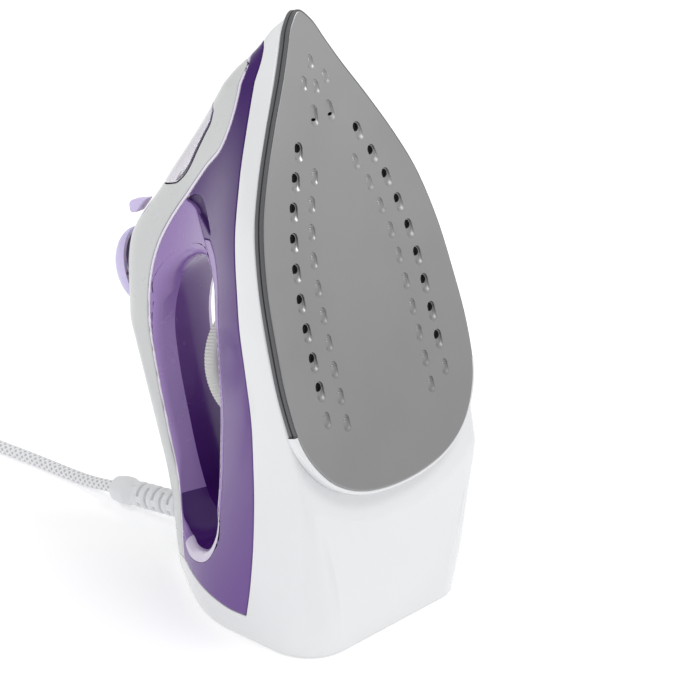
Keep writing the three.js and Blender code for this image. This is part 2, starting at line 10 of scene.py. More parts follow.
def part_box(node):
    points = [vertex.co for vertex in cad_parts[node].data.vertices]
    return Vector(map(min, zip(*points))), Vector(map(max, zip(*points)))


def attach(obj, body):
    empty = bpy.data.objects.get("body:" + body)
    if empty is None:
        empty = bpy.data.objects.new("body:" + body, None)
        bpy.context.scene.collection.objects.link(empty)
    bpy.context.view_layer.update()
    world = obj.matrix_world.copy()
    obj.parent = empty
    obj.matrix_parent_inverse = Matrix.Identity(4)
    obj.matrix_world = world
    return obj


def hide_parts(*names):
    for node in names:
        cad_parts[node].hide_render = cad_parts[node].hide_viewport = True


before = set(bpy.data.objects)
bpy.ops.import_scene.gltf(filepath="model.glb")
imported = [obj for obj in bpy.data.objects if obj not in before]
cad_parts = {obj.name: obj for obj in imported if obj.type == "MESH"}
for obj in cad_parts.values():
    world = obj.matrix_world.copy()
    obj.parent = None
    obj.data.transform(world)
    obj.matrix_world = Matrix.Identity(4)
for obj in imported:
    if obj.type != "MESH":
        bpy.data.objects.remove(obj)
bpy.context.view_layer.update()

MM = 0.001

# ---- frame
# Flat frame of the iron, in mm: x across, h above the sole, u towards the tip.
LEAN = radians(17.7)
STAND = 71.3
SIN, COS, TAN = sin(LEAN), cos(LEAN), tan(LEAN)
LAMP = (0.0, 146.2, 16.0)
lamp_low, lamp_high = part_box("pilot_lamp")
SHIFT = LAMP[2] * SIN + LAMP[1] * COS - (lamp_low[1] + lamp_high[1]) / 2 / MM


def place(flat):
    """(x, h, u) points in mm to the row frame in metres."""
    flat = np.asarray(flat, float)
    x, h, u = flat[..., 0], flat[..., 1], flat[..., 2]
    return np.stack([x, u * SIN + h * COS - SHIFT, u * COS - h * SIN + STAND], -1) * MM


def floor_place(points):
    """(x, y, z) points in mm, upright on the floor with y from the sole line, to the row frame in metres."""
    return (np.asarray(points, float) - (0, SHIFT, 0)) * MM


def added(name, data):
    """A new object in the scene."""
    obj = bpy.data.objects.new(name, data)
    bpy.context.scene.collection.objects.link(obj)
    return obj


# ---- camera
camera_data = bpy.data.cameras.new("camera")
camera_data.lens = 153.3
camera_data.sensor_width = 36
camera = added("camera", camera_data)
camera.location = (-0.881872, -0.874746, 0.662549)
camera.rotation_euler = Vector((0.671143, 0.619784, -0.406737)).to_track_quat("-Z", "Y").to_euler()
bpy.context.scene.camera = camera


# ---- materials
def srgb(*rgb):
    """An sRGB colour out of 255 as linear RGBA."""
    lin = [c / 255 / 12.92 if c <= 10.3 else ((c / 255 + 0.055) / 1.055) ** 2.4 for c in rgb]
    return (*lin, 1.0)


class Finish:
    """A procedural material: a shader with colour and roughness that vary, and a bump."""

    def __init__(self, name, **sockets):
        self.material = bpy.data.materials.new(name)
        self.material.use_nodes = True
        self.tree = self.material.node_tree
        self.shader = self.tree.nodes["Principled BSDF"]
        for key, value in sockets.items():
            self.shader.inputs[key.replace("_", " ")].default_value = value

    def node(self, kind, inputs=(), **settings):
        n = self.tree.nodes.new("ShaderNode" + kind)
        for key, value in settings.items():
            setattr(n, key, value)
        for key, value in dict(inputs).items():
            if isinstance(value, bpy.types.NodeSocket):
                self.tree.links.new(value, n.inputs[key])
            else:
                n.inputs[key].default_value = value
        return n

    def made(self, colour, rough, normal):
        """Links the shader's colour, roughness and normal, and returns the material."""
        for key, out in (("Base Color", colour), ("Roughness", rough), ("Normal", normal)):
            if out is not None:
                self.tree.links.new(out, self.shader.inputs[key])
        return self.material

    def coordinates(self, stretch=(1, 1, 1), turn=(0, 0, 0), source="Object"):
        spot = self.node("TexCoord").outputs[source]
        return self.node("Mapping", {"Vector": spot, "Scale": stretch, "Rotation": turn}).outputs[0]

    def noise(self, scale, detail=3.0, **where):
        sizes = {"Vector": self.coordinates(**where), "Scale": scale, "Detail": detail}
        return self.node("TexNoise", sizes).outputs[0]

    def ramp(self, fac, low, high, start=0.3, end=0.7):
        n = self.node("ValToRGB", {"Fac": fac})
        for stop, where, colour in zip(n.color_ramp.elements, (start, end), (low, high)):
            stop.position = where
            stop.color = colour
        return n.outputs[0]

    def scale(self, fac, low, high, start=0.0, end=1.0):
        sizes = {"Value": fac, "From Min": start, "From Max": end, "To Min": low, "To Max": high}
        return self.node("MapRange", sizes).outputs[0]

    def climb(self, noise, sway, low, high):
        """0 to 1 between two heights in metres, its level swayed by a noise."""
        height = self.node("SeparateXYZ", {"Vector": self.coordinates()}).outputs[2]
        level = self.node("Math", {0: height, 1: self.scale(noise, -sway, sway)}, operation="ADD")
        return self.scale(level.outputs[0], 0, 1, low, high)

    def bump(self, height, strength, distance, under=None):
        sizes = {"Height": height, "Strength": strength, "Distance": distance}
        if under is not None:
            sizes["Normal"] = under
        return self.node("Bump", sizes).outputs[0]


def around(colour, spread):
    """A darker and a lighter version of an sRGB colour."""
    return [(*(min(1, c * (1 + sign * spread)) for c in srgb(*colour)[:3]), 1) for sign in (-1, 1)]


def moulded(name, colour, rough=0.3, spread=0.03, coat=0.0, grain=0.15, size=2200,
             **sockets):
    """Moulded plastic: a soft drift of colour, a rough skin that varies and a fine orange peel."""
    f = Finish(name, Coat_Weight=coat, Coat_Roughness=0.08, **sockets)
    drift = f.ramp(f.noise(18), *around(colour, spread))
    skin = f.scale(f.noise(140, 4), rough * 0.85, rough * 1.2, 0.3, 0.7)
    peel = f.bump(f.noise(size, 2), grain, 0.00005)
    return f.made(drift, skin, f.bump(f.noise(60, 2), 0.05, 0.0004, peel))


def brushed(name, colour, rough, stretch):
    """Metal with fine drawn lines, faint smudges and worn spots."""
    f = Finish(name, Metallic=1.0)
    lines = f.noise(900, 4, stretch=stretch)
    smudge = f.noise(25, 5)
    both = f.node("Math", {0: lines, 1: smudge}, operation="ADD").outputs[0]
    return f.made(f.ramp(smudge, *around(colour, 0.06)), f.scale(both, rough * 0.8, rough * 1.25, 0.7, 1.3),
                  f.bump(lines, 0.15, 0.00004))


WHITE = moulded("white_gloss", (229, 230, 232), 0.22, 0.012, coat=0.35)
COVER = moulded("pale_cover", (203, 205, 205), 0.3, 0.015, coat=0.2)
LAVENDER = moulded("lavender_gloss", (142, 112, 174), 0.24, 0.05, coat=0.2)
# A pale gloss painted on the tank's rolled edge as a highlight.
ROLLED_EDGE_HIGHLIGHT = moulded("edge_painted_highlight", (206, 194, 220), 0.16, 0.03, coat=0.5)
# A near-black purple painted as shade deep in the gap in front of the opening.
RECESS_SHADE = moulded("recess_painted_shade", (52, 16, 84), 0.4, 0.08)
# A pale band painted along the cover's edge as a highlight.
COVER_BAND_HIGHLIGHT = moulded("cover_band_highlight", (232, 224, 240), 0.2, 0.02, coat=0.4)
DOME = moulded("button_lavender", (203, 192, 232), 0.35, 0.03, coat=0.1, Subsurface_Weight=0.1)
DIAL = moulded("dial_grey", (200, 201, 198), 0.4, 0.03)
BLACK = moulded("black_satin", (26, 26, 28), 0.45, 0.1)
RUBBER = moulded("dark_rubber", (44, 44, 48), 0.7, 0.1, grain=0.4, size=900)
CERAMIC = moulded("ceramic", (206, 200, 184), 0.6, 0.06, grain=0.5, size=700)
GLAND = moulded("gland_white", (226, 227, 229), 0.45, 0.02, grain=0.3)
PLUG = moulded("plug_white", (230, 230, 231), 0.38, 0.02)
STEEL = brushed("steel", (176, 178, 182), 0.3, stretch=(1, 0.05, 1))
BRASS = brushed("brass", (190, 158, 96), 0.32, stretch=(1, 1, 0.05))
RIM = moulded("rim_grey", (84, 85, 88), 0.42, 0.06)
# Dark grey painted as shade inside the steam holes.
HOLE_SHADE = moulded("hole_painted_shade", (46, 46, 48), 0.7, 0.2)


def tank_material():
    """Tinted clear plastic in its own purple, with painted shade that deepens it towards the nose."""
    f = Finish("tank_purple", Coat_Weight=0.06, Coat_Roughness=0.06, Specular_IOR_Level=0.18)
    n = f.node("ValToRGB", {"Fac": f.climb(f.noise(14), 0.004, 0.02, 0.27)})
    stops = [(0.0, srgb(112, 82, 146)), (0.45, srgb(98, 66, 132)), (0.75, srgb(66, 30, 102)),
             (1.0, srgb(58, 20, 98))]
    n.color_ramp.elements[1].position = 0.99
    for _ in range(2):
        n.color_ramp.elements.new(0.5)
    for stop, (where, colour) in zip(n.color_ramp.elements, stops):
        stop.position = where
        stop.color = colour
    return f.made(n.outputs[0], f.scale(f.noise(90, 4), 0.14, 0.22, 0.3, 0.7), f.bump(f.noise(50, 2), 0.06, 0.0004))


def sole_material():
    """Satin metal with fine drawn lines and faint smudges, and painted light that makes it a little paler towards the
    tip.
    """
    f = Finish("sole_satin", Metallic=0.85)
    lines = f.noise(900, 4, stretch=(1, 0.06, 0.06))
    smudge = f.noise(22, 5)
    height = f.climb(smudge, 0.02, 0.05, 0.28)
    return f.made(f.ramp(height, srgb(146, 146, 147), srgb(180, 180, 181), 0.1, 0.95),
                  f.scale(smudge, 0.3, 0.4, 0.3, 0.7), f.bump(lines, 0.12, 0.00004))


def shaded_lavender_material():
    """The handle's underside: the lavender plastic darkened by painted shade, which deepens further towards the heel.
    """
    f = Finish("lavender_painted_shade", Coat_Weight=0.1, Coat_Roughness=0.07, Specular_IOR_Level=0.35)
    height = f.climb(f.noise(20), 0.012, 0.03, 0.2)
    return f.made(f.ramp(height, srgb(66, 24, 104), srgb(122, 84, 156), 0.05, 0.9),
                  f.scale(f.noise(110, 4), 0.18, 0.28, 0.3, 0.7), f.bump(f.noise(60, 2), 0.05, 0.0004))


def smoked_material():
    f = Finish("smoked_clear", Transmission_Weight=0.55, IOR=1.3, Roughness=0.06, Coat_Weight=0.3)
    return f.made(f.ramp(f.noise(30), srgb(104, 91, 124), srgb(126, 114, 146)), None,
                  f.bump(f.noise(300, 2), 0.05, 0.0001))


def lens_material():
    f = Finish("amber_lens", Transmission_Weight=0.5, IOR=1.4, Coat_Weight=0.5)
    return f.made(f.ramp(f.noise(300), srgb(214, 110, 30), srgb(240, 150, 60)), f.scale(f.noise(400), 0.1, 0.25), None)


def braid_material():
    """Textile braid: two families of diagonal threads over and under each other, on the tube's own UV."""
    f = Finish("cord_braid", Sheen_Weight=0.3, Sheen_Roughness=0.5)
    heights = []
    for turn in (radians(45), radians(-45)):
        spot = f.coordinates(source="UV", turn=(0, 0, turn))
        wave = f.node("TexWave", {"Vector": spot, "Scale": 2.4, "Distortion": 0.4, "Detail": 1.0})
        heights.append(wave.outputs[1])
    weave = f.node("Math", {0: heights[0], 1: heights[1]}, operation="MAXIMUM").outputs[0]
    # The threads' crowns are paler and the weave darker where it sinks: painted shade between the threads.
    return f.made(f.ramp(weave, srgb(186, 187, 190), srgb(236, 237, 239), 0.2, 0.8), f.scale(weave, 0.9, 0.65),
                  f.bump(weave, 0.8, 0.0004, f.bump(f.noise(4000), 0.3, 0.0001)))


TANK = tank_material()
SOLE = sole_material()
SHADED_LAVENDER = shaded_lavender_material()
SMOKE = smoked_material()
LENS = lens_material()
BRAID = braid_material()


# ---- mesh tools
def piece(name, points, faces, material, body, replaces=(), sharp=35, metres=False):
    """A mesh object on a body. Points are flat mm unless they already are metres."""
    where = np.asarray(points, float) if metres else place(points)
    mesh = bpy.data.meshes.new(name)
    mesh.from_pydata(where.tolist(), [], [list(map(int, f)) for f in faces])
    mesh.validate()
    mesh.shade_smooth()
    if sharp:
        mesh.set_sharp_from_angle(angle=radians(sharp))
    obj = added(name, mesh)
    mesh.materials.append(material)
    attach(obj, body)
    if replaces:
        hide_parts(*replaces)
    return obj


def rework(obj, angle, work):
    """Reworks a piece's mesh and sets its sharp edges again."""
    mesh = bmesh.new()
    mesh.from_mesh(obj.data)
    work(mesh)
    mesh.to_mesh(obj.data)
    mesh.free()
    obj.data.set_sharp_from_angle(angle=radians(angle))


def merge(obj, distance):
    def work(mesh):
        bmesh.ops.remove_doubles(mesh, verts=mesh.verts, dist=distance * MM)
        bmesh.ops.recalc_face_normals(mesh, faces=mesh.faces)
    rework(obj, 40, work)


def grid_faces(rows, cols, wrap_rows=False, wrap_cols=False):
    r = np.arange(rows if wrap_rows else rows - 1)
    c = np.arange(cols if wrap_cols else cols - 1)
    r, c = np.meshgrid(r, c, indexing="ij")
    r2, c2 = (r + 1) % rows, (c + 1) % cols
    return np.stack([r * cols + c, r * cols + c2, r2 * cols + c2, r2 * cols + c], -1).reshape(-1, 4)


def through(points):
    """A smooth function through a few points, which never overshoots them."""
    x, y = np.array(points, float).T
    slope = np.diff(y) / np.diff(x)
    a, b = slope[:-1], slope[1:]
    inner = np.where(a * b <= 0, 0, 2 * a * b / np.where(a + b == 0, 1, a + b))
    tangent = np.concatenate([slope[:1], inner, slope[-1:]])

    def value(at):
        at = np.clip(np.asarray(at, float), x[0], x[-1])
        i = np.clip(np.searchsorted(x, at, "right") - 1, 0, len(x) - 2)
        d = x[i + 1] - x[i]
        t = (at - x[i]) / d
        s = 1 - t
        return (s * s * (1 + 2 * t) * y[i] + t * t * (3 - 2 * t) * y[i + 1]
                + d * t * s * (s * tangent[i] - t * tangent[i + 1]))
    return value


def spline(points, step, closed=False):
    """A smooth curve through the points, at about equal steps."""
    p = np.array(points, float)
    p = np.vstack([p[-1], p, p[0], p[1]]) if closed else np.vstack([2 * p[0] - p[1], p, 2 * p[-1] - p[-2]])
    out = []
    for a, b, c, d in zip(p, p[1:], p[2:], p[3:]):
        k = np.sqrt([max(np.linalg.norm(v), 1e-6) for v in (b - a, c - b, d - c)])
        m1 = (c - b) + k[1] * ((b - a) / k[0] - (c - a) / (k[0] + k[1]))
        m2 = (c - b) + k[1] * ((d - c) / k[2] - (d - b) / (k[1] + k[2]))
        t = np.linspace(0, 1, max(2, int(np.linalg.norm(c - b) / step * 4) + 2), endpoint=False)[:, None]
        out.append((1 + 2 * t) * (1 - t) ** 2 * b + t * (1 - t) ** 2 * m1
                   + t * t * (3 - 2 * t) * c + t * t * (t - 1) * m2)
    dense = np.vstack(out + ([out[0][:1]] if closed else [p[-2][None]]))
    run = np.concatenate([[0], np.cumsum(np.linalg.norm(np.diff(dense, axis=0), axis=1))])
    count = max(4, int(round(run[-1] / step)) + 1)
    at = np.linspace(0, run[-1], count)
    even = np.stack([np.interp(at, run, dense[:, i]) for i in range(dense.shape[1])], -1)
    return even[:-1] if closed else even


def polygon_distance(spots, polygon):
    """Distance of (u, h) spots to a closed outline, positive inside."""
    spots, a = np.asarray(spots, float), np.asarray(polygon, float)
    b = np.roll(a, -1, axis=0)
    edge = b - a
    size = np.maximum((edge ** 2).sum(1), 1e-12)
    out = np.empty(len(spots))
    for k in range(0, len(spots), 4000):
        p = spots[k:k + 4000, None, :]
        t = np.clip(((p - a) * edge).sum(2) / size, 0, 1)
        far = np.sqrt((((p - a) - t[..., None] * edge) ** 2).sum(2)).min(1)
        above = (a[:, 1] > p[..., 1]) != (b[:, 1] > p[..., 1])
        rise = np.where(edge[:, 1] == 0, 1e-12, edge[:, 1])
        hit = p[..., 0] < a[:, 0] + (p[..., 1] - a[:, 1]) * edge[:, 0] / rise
        inside = (above & hit).sum(1) % 2 == 1
        out[k:k + 4000] = np.where(inside, far, -far)
    return out


SNAP = 0.004


class Patch:
    """A fine surface in the flat frame, trimmed along lines where a value passes a level."""

    def __init__(self, co, nor, faces):
        self.co, self.nor = np.array(co, float), np.array(nor, float)
        self.faces = np.full((len(faces), 8), -1)
        self.faces[:, :len(faces[0])] = faces

    def crop(self, keep):
        self.faces = self.faces[keep]

    def face_values(self, value, empty):
        return np.where(self.faces >= 0, value[np.maximum(self.faces, 0)], empty)

    def split(self, value, level):
        value = np.where(np.abs(value - level) < SNAP, level, value)
        low = self.face_values(value, np.inf).min(1)
        high = self.face_values(value, -np.inf).max(1)
        crossing = (low < level) & (high > level)
        co, nor, val, made = [], [], [], {}
        count = len(self.co)
        new = []
        for face in self.faces[crossing]:
            face = [int(i) for i in face if i >= 0]
            sides = ([], [])
            for i, j in zip(face, face[1:] + face[:1]):
                if value[i] >= level:
                    sides[0].append(i)
                if value[i] <= level:
                    sides[1].append(i)
                if (value[i] - level) * (value[j] - level) < 0:
                    key = (min(i, j), max(i, j))
                    if key not in made:
                        t = (level - value[i]) / (value[j] - value[i])
                        made[key] = count + len(co)
                        co.append(self.co[i] * (1 - t) + self.co[j] * t)
                        nor.append(self.nor[i] * (1 - t) + self.nor[j] * t)
                        val.append(level)
                    sides[0].append(made[key])
                    sides[1].append(made[key])
            new += [side + [-1] * (8 - len(side)) for side in sides if 3 <= len(side) <= 8]
        if co:
            self.co = np.vstack([self.co, co])
            self.nor = np.vstack([self.nor, nor])
            value = np.concatenate([value, val])
        if new:
            self.faces = np.vstack([self.faces[~crossing], np.array(new)])
        return value

    def trim(self, value, radius):
        """Cuts off what is below zero, and rounds the rest down towards the cut."""
        self.crop(self.face_values(value, -np.inf).max(1) > -SNAP)
        for a in np.radians([0, 20, 40, 60, 90]):
            value = self.split(value, (1 - cos(a)) * radius)
        self.crop(self.face_values(value, np.inf).min(1) > -SNAP / 2)
        lift = np.clip(1 - value / radius, 0, 1)
        self.drop = radius * (1 - np.sqrt(1 - lift ** 2))
        return self

    def boundary(self):
        """Edges that only one face uses, in that face's direction."""
        valid = self.faces >= 0
        size = valid.sum(1)
        cols = np.arange(8)
        nxt = np.where(cols[None] + 1 < size[:, None], cols[None] + 1, 0)
        a = self.faces[valid]
        b = np.take_along_axis(self.faces, nxt, 1)[valid]
        key = np.minimum(a, b).astype(np.int64) * (len(self.co) + 1) + np.maximum(a, b)
        _, first, counts = np.unique(key, return_index=True, return_counts=True)
        alone = first[counts == 1]
        return np.stack([a[alone], b[alone]], -1)

    def finish(self, name, material, body, slot, replaces=(), wall=2.2):
        """Makes the patch a piece, with a wall of this depth behind its edge."""
        drop = getattr(self, "drop", np.zeros(len(self.co)))
        nor = self.nor / np.maximum(np.linalg.norm(self.nor, axis=1), 1e-9)[:, None]
        co = self.co - nor * drop[:, None]
        edges = self.boundary()
        rim = np.unique(edges)
        index = np.full(len(co), -1)
        index[rim] = len(co) + np.arange(len(rim))
        deep = self.co[rim] - nor[rim] * wall
        faces = [[i for i in f if i >= 0] for f in self.faces.tolist()]
        if wall:
            faces += [[b, a, index[a], index[b]] for a, b in edges.tolist()]
        points = np.vstack([co, deep])
        used = np.unique([i for f in faces for i in f])
        renumber = np.full(len(points), -1)
        renumber[used] = np.arange(len(used))
        return piece(name, points[used], [[renumber[i] for i in f] for f in faces],
                     material, body, replaces)


def grid_patch(points, wrap_cols=False):
    """A patch over a grid of points, rows by columns, with normals from its own slopes."""
    def slope(axis, wrap):
        if wrap:
            return np.roll(points, -1, axis) - np.roll(points, 1, axis)
        return np.gradient(points, axis=axis)
    nor = np.cross(slope(1, wrap_cols), slope(0, False))
    size = np.linalg.norm(nor, axis=-1, keepdims=True)
    nor = np.where(size > 1e-12, nor / np.maximum(size, 1e-12), 0)
    faces = grid_faces(*points.shape[:2], wrap_cols=wrap_cols)[:, ::-1]
    return Patch(points.reshape(-1, 3), nor.reshape(-1, 3), faces)


def lathe(profile, sides=64):
    """Rings of (radius, height) about a vertical axis: points (x, h, u) and faces."""
    a = np.arange(sides) * (2 * pi) / sides
    profile = np.asarray(profile, float)
    ring = np.stack([np.cos(a), np.zeros(sides), np.sin(a)], -1)
    points = ring[None] * profile[:, 0, None, None] + np.array([0, 1, 0]) * profile[:, 1, None, None]
    return points, grid_faces(len(profile), sides, wrap_cols=True)


def rounded(profile, radius, steps=4):
    """An open profile with each inner corner rounded."""
    p = np.array(profile, float)
    out = [p[0]]
    for a, b, c in zip(p, p[1:], p[2:]):
        r = min(radius, 0.45 * np.linalg.norm(b - a), 0.45 * np.linalg.norm(c - b))
        s, e = b + (a - b) / np.linalg.norm(a - b) * r, b + (c - b) / np.linalg.norm(c - b) * r
        for t in np.linspace(0, 1, steps + 1):
            out.append((1 - t) ** 2 * s + 2 * t * (1 - t) * b + t * t * e)
    return np.array(out + [p[-1]])


def swept(path, radii, sides=16):
    """A tube along a path in the row frame."""
    path = np.asarray(path, float)
    tangent = np.gradient(path, axis=0)
    tangent /= np.linalg.norm(tangent, axis=1, keepdims=True)
    up = np.array([0, 0, 1.0])
    frames = []
    for t in tangent:
        side = np.cross(t, up)
        side /= max(np.linalg.norm(side), 1e-9)
        up = np.cross(side, t)
        frames.append((side, up))
    side, up = (np.array(v) for v in zip(*frames))
    a = np.arange(sides) * 2 * pi / sides
    ring = np.cos(a)[None, :, None] * side[:, None] + np.sin(a)[None, :, None] * up[:, None]
    points = path[:, None] + ring * np.broadcast_to(radii, len(path))[:, None, None]
    return points, grid_faces(len(path), sides, wrap_cols=True)


# ---- cord
CORD_R = 3.0
COIL = {"x": -45, "y": 325, "low": 3.9, "outer": 42.0}
GLAND_Y, GLAND_Z, TIP_Y, TIP_Z = 134, 14.9, 190.5, 7.5
gland_tilt = atan2(TIP_Z - GLAND_Z, TIP_Y - GLAND_Y)
gland_length = hypot(TIP_Z - GLAND_Z, TIP_Y - GLAND_Y)
cord_start = gland_length - 4.7


def ease(t):
    t = np.clip(t, 0, 1)
    return t * t * (3 - 2 * t)


def coil_turns():
    """Four turns inwards on the floor, a step up, and three and a half outwards on top of them."""
    t = np.linspace(0, 7.5, 211)
    k = np.floor(t)
    part = t - k
    inward = COIL["outer"] - 6 * k - 6 * ease((part - 0.6) / 0.4)
    outward = 24 + 6 * (k - 4) + 6 * ease((part - 0.3) / 0.4)
    radius = np.where(k < 3, inward, np.where(k < 4, 24, np.where(k < 7, outward, 42)))
    z = np.where(k < 3, 0, np.where(k < 4, ease((part - 0.45) / 0.4), 1)) * 6 + COIL["low"]
    a = 2 * pi * t
    return np.stack([COIL["x"] + radius * np.cos(a), COIL["y"] + radius * np.sin(a), z], -1)


cord_way = [
    (0, GLAND_Y + cord_start * cos(gland_tilt), GLAND_Z + cord_start * sin(gland_tilt)),
    (0, 196, 6.7), (0.2, 206, 4.9), (0.4, 217, 3.6), (0.2, 230, 3.1), (-0.4, 246, 3.1), (-1.4, 262, 3.1),
    (-2.5, 278, 3.1), (-3, 291, 3.1), (-3, 300.5, 3.3), (-3, 312, 3.7),
]
plug_way = [(-87, 312, 8.9), (-87, 300.5, 6.6), (-87, 294, 5.4), (-87, 287, 4.9), (-87, 281.2, 4.9)]
cord_path = floor_place(spline(np.vstack([cord_way, coil_turns(), plug_way]), 2.0))
cord_points, cord_faces = swept(cord_path, CORD_R * MM, 14)
cord_caps = [list(range(14))[::-1], [len(cord_path) * 14 - 14 + i for i in range(14)]]
cord = piece("cord", cord_points.reshape(-1, 3), list(cord_faces) + cord_caps, BRAID, "base",
             ("mains_cord", "mains_cord_end", "cord_coil"), metres=True)


def tube_uv(obj, sides, spacing):
    """Unwraps a swept tube: one tile round it, and tiles of the same size along it."""
    layer = obj.data.uv_layers.new(name="tube").data
    for poly in obj.data.polygons:
        ids = [obj.data.loops[i].vertex_index for i in poly.loop_indices]
        across = [i % sides for i in ids]
        seam = len(ids) == 4 and max(across) - min(across) > 1
        for loop, i, a in zip(poly.loop_indices, ids, across):
            layer[loop].uv = ((a + sides * (seam and a == 0)) / sides, i // sides * spacing)


tube_uv(cord, 14, 2.0 / (2 * pi * CORD_R))


def laid(points, at, tilt, ahead):
    """(x, y, z) points drawn along z from the origin, laid from a spot on the floor frame towards +y or -y."""
    p = np.asarray(points, float)
    x, side, run = ahead * p[..., 0], p[..., 1], ahead * p[..., 2]
    y, z = run * cos(tilt) - side * sin(tilt), run * sin(tilt) + side * cos(tilt)
    return floor_place(np.stack([x, y, z], -1) + at)


def turned(profile, sides=64):
    """A lathe of (radius, run) pairs about +z, as (x, y, z) points."""
    points, faces = lathe(profile, sides)
    return points[..., [0, 2, 1]], faces


RING_START, RING_PITCH = 11.2, 5.3
BOX_FACES = [(0, 1, 3, 2), (4, 6, 7, 5), (0, 4, 5, 1), (2, 3, 7, 6), (0, 2, 6, 4), (1, 5, 7, 3)]


def gland_parts():
    """The flange, a sleeve with slotted rings round it, and the smooth bell at its tip."""
    ring = [(4.6, 0), (5.9, 0.2), (6.3, 0.9), (6.4, 2.0), (6.3, 3.1), (5.9, 3.8), (4.6, 4.0)]
    end = gland_length
    core = rounded([(0, -2.4), (7.3, -2.4), (7.3, -0.5), (5.9, -0.5), (5.6, 9), (4.7, 11), (4.7, 42),
                    (5.4, 44), (7.0, 47.5), (7.1, 51.5), (6.2, end - 0.4), (5.4, end), (4.1, end),
                    (3.9, end - 4.9), (0, end - 4.9)], 0.8)
    parts = [turned(core)]
    for i in range(6):
        points, faces = turned(ring)
        parts.append((points + (0, 0, RING_START + RING_PITCH * i), faces))
    for i in range(6):
        for side in (-1, 1):
            turn = side * 0.5 * pi + (i % 2) * 0.5 * pi
            bar = np.array([[dx, dy, dz] for dx in (-1.6, 1.6) for dy in (4.4, 6.0) for dz in (-1.3, 1.6)])
            spin = np.array([[cos(turn), -sin(turn), 0], [sin(turn), cos(turn), 0], [0, 0, 1]])
            parts.append((bar @ spin.T + (0, 0, 16.3 + RING_PITCH * i - 0.4), BOX_FACES))
    return parts


def joined(parts):
    """Several (points, faces) as one."""
    points, faces, start = [], [], 0
    for co, fs in parts:
        co = np.asarray(co, float).reshape(-1, 3)
        points.append(co)
        faces += [[int(i) + start for i in f] for f in fs]
        start += len(co)
    return np.vstack(points), faces


gland_points, gland_faces = joined(gland_parts())
piece("cord_gland_sleeve", laid(gland_points, (0, GLAND_Y, GLAND_Z), gland_tilt, 1), gland_faces,
      GLAND, "base", ("cord_gland",), metres=True)

plug_turn = radians(-13.4)
PLUG_AT = np.array([-87, 280, 4.9])


def plug_shape():
    """A moulded plug: ribbed neck, waist and round head with a finger groove."""
    neck = [(0, 0.2), (4.4, 0.2)]
    for i in range(4):
        neck += [(4.7, 1.2 + 2.4 * i), (4.1, 1.6 + 2.4 * i), (4.1, 2.4 + 2.4 * i), (4.9, 2.9 + 2.4 * i)]
    head = [(5.3, 12), (7.2, 16), (8.6, 20), (10.8, 27.6), (10.4, 29), (10.9, 30.5), (13.2, 37.6), (14.3, 41),
            (14.6, 43.6), (13.6, 43.95), (0, 43.95)]
    return turned(rounded(neck + head, 0.7, 3), 72)


plug_points, plug_faces = plug_shape()
plug = piece("plug_moulding", laid(plug_points, PLUG_AT, plug_turn, -1).reshape(-1, 3), plug_faces, PLUG,
             "base", ("plug_body",), metres=True)


# ---- outer form
sole_half = [
    (0, 4.5), (24.7, 7.5), (39.1, 14), (48.1, 22.4), (56, 36.8), (58.8, 58.6), (57.5, 87), (54.9, 110),
    (49, 134), (41, 152), (29.8, 172), (18.4, 190.5), (12, 202), (6.6, 211.8), (0, 217.3),
]
sole_line = spline(sole_half + [(-x, u) for x, u in sole_half[-2:0:-1]], 1.5, closed=True)
skirt_half = through([
    (-76, 54), (-40, 54.5), (0, 55.5), (30, 57), (60, 58.3), (81, 57.8), (104, 55.2), (128, 50.7),
    (152, 40.6), (172, 29.2), (191, 18), (202, 11.8), (211, 7.2), (215, 4.8),
])
ridge = through([
    (-76, 153), (-20, 149.5), (0, 149), (85, 149), (95, 146.5), (105, 143.5), (115, 140), (126, 134),
    (133, 127), (140, 117), (148, 105), (155, 96), (165, 82), (175, 68.5), (184, 57), (195, 43),
    (205, 24), (211, 15), (214, 8),
])
flank_top = through([
    (-76, 152), (-60, 150), (-20, 138), (20, 130), (50, 131), (90, 125), (110, 108), (130, 97),
    (146, 85), (160, 75), (175, 62), (190, 50), (205, 35), (214, 20),
])
flank_bottom = through([(-76, 80), (-20, 40), (30, 10), (60, 0), (216, 0)])
flank_power = through([(-76, 1.4), (0, 1.4), (20, 1.45), (50, 1.75), (90, 2), (216, 2)])
corner_radius = through([(-76, 21), (-30, 12), (10, 4), (45, 1.5), (216, 1)])
HANDLE_HALF = 18
BODY_BOTTOM = 5.8
HEEL_SLOPE, HEEL_START = 0.4435, 4
CREASE = 13.6                    # the heel's crease runs this far behind the sole's edge
REAR = -STAND / COS
NOSE_START, NOSE_END = 206.0, 215.6


def shear(s):
    return TAN * (1 - ease((np.asarray(s, float) - REAR) / 135))


def section_bottom(s):
    return np.maximum(BODY_BOTTOM, HEEL_SLOPE * (HEEL_START - s) / (1 + HEEL_SLOPE * shear(s)))


def nose(s):
    return np.sqrt(np.maximum(0, 1 - (np.clip(s - NOSE_START, 0, None) / (NOSE_END - NOSE_START)) ** 2))


def flank_half(s, y):
    """Half width of section s at height y, without the crown's and the corner's rounding."""
    skirt = skirt_half(s)
    narrow = np.minimum(HANDLE_HALF, skirt)
    t = np.clip((y - flank_bottom(s)) / (flank_top(s) - flank_bottom(s)), 0, 1)
    return (narrow + (skirt - narrow) * np.cos(pi / 2 * t) ** flank_power(s)) * nose(s)


def crown(s):
    return np.minimum(17, 0.6 * (ridge(s) - section_bottom(s)))


def full_half(s, y):
    """Half width of section s at height y with its crown."""
    up = np.clip((y - ridge(s) + crown(s)) / crown(s), 0, 1)
    return flank_half(s, y) * np.sqrt(1 - up ** 2)


def section_of(u, h):
    """The section s that holds the point (u, h) of the side view."""
    low, high = np.full(np.shape(u), -80.0), np.full(np.shape(u), 220.0)
    for _ in range(40):
        mid = (low + high) / 2
        short = mid + shear(mid) * h < u
        low, high = np.where(short, mid, low), np.where(short, high, mid)
    return (low + high) / 2


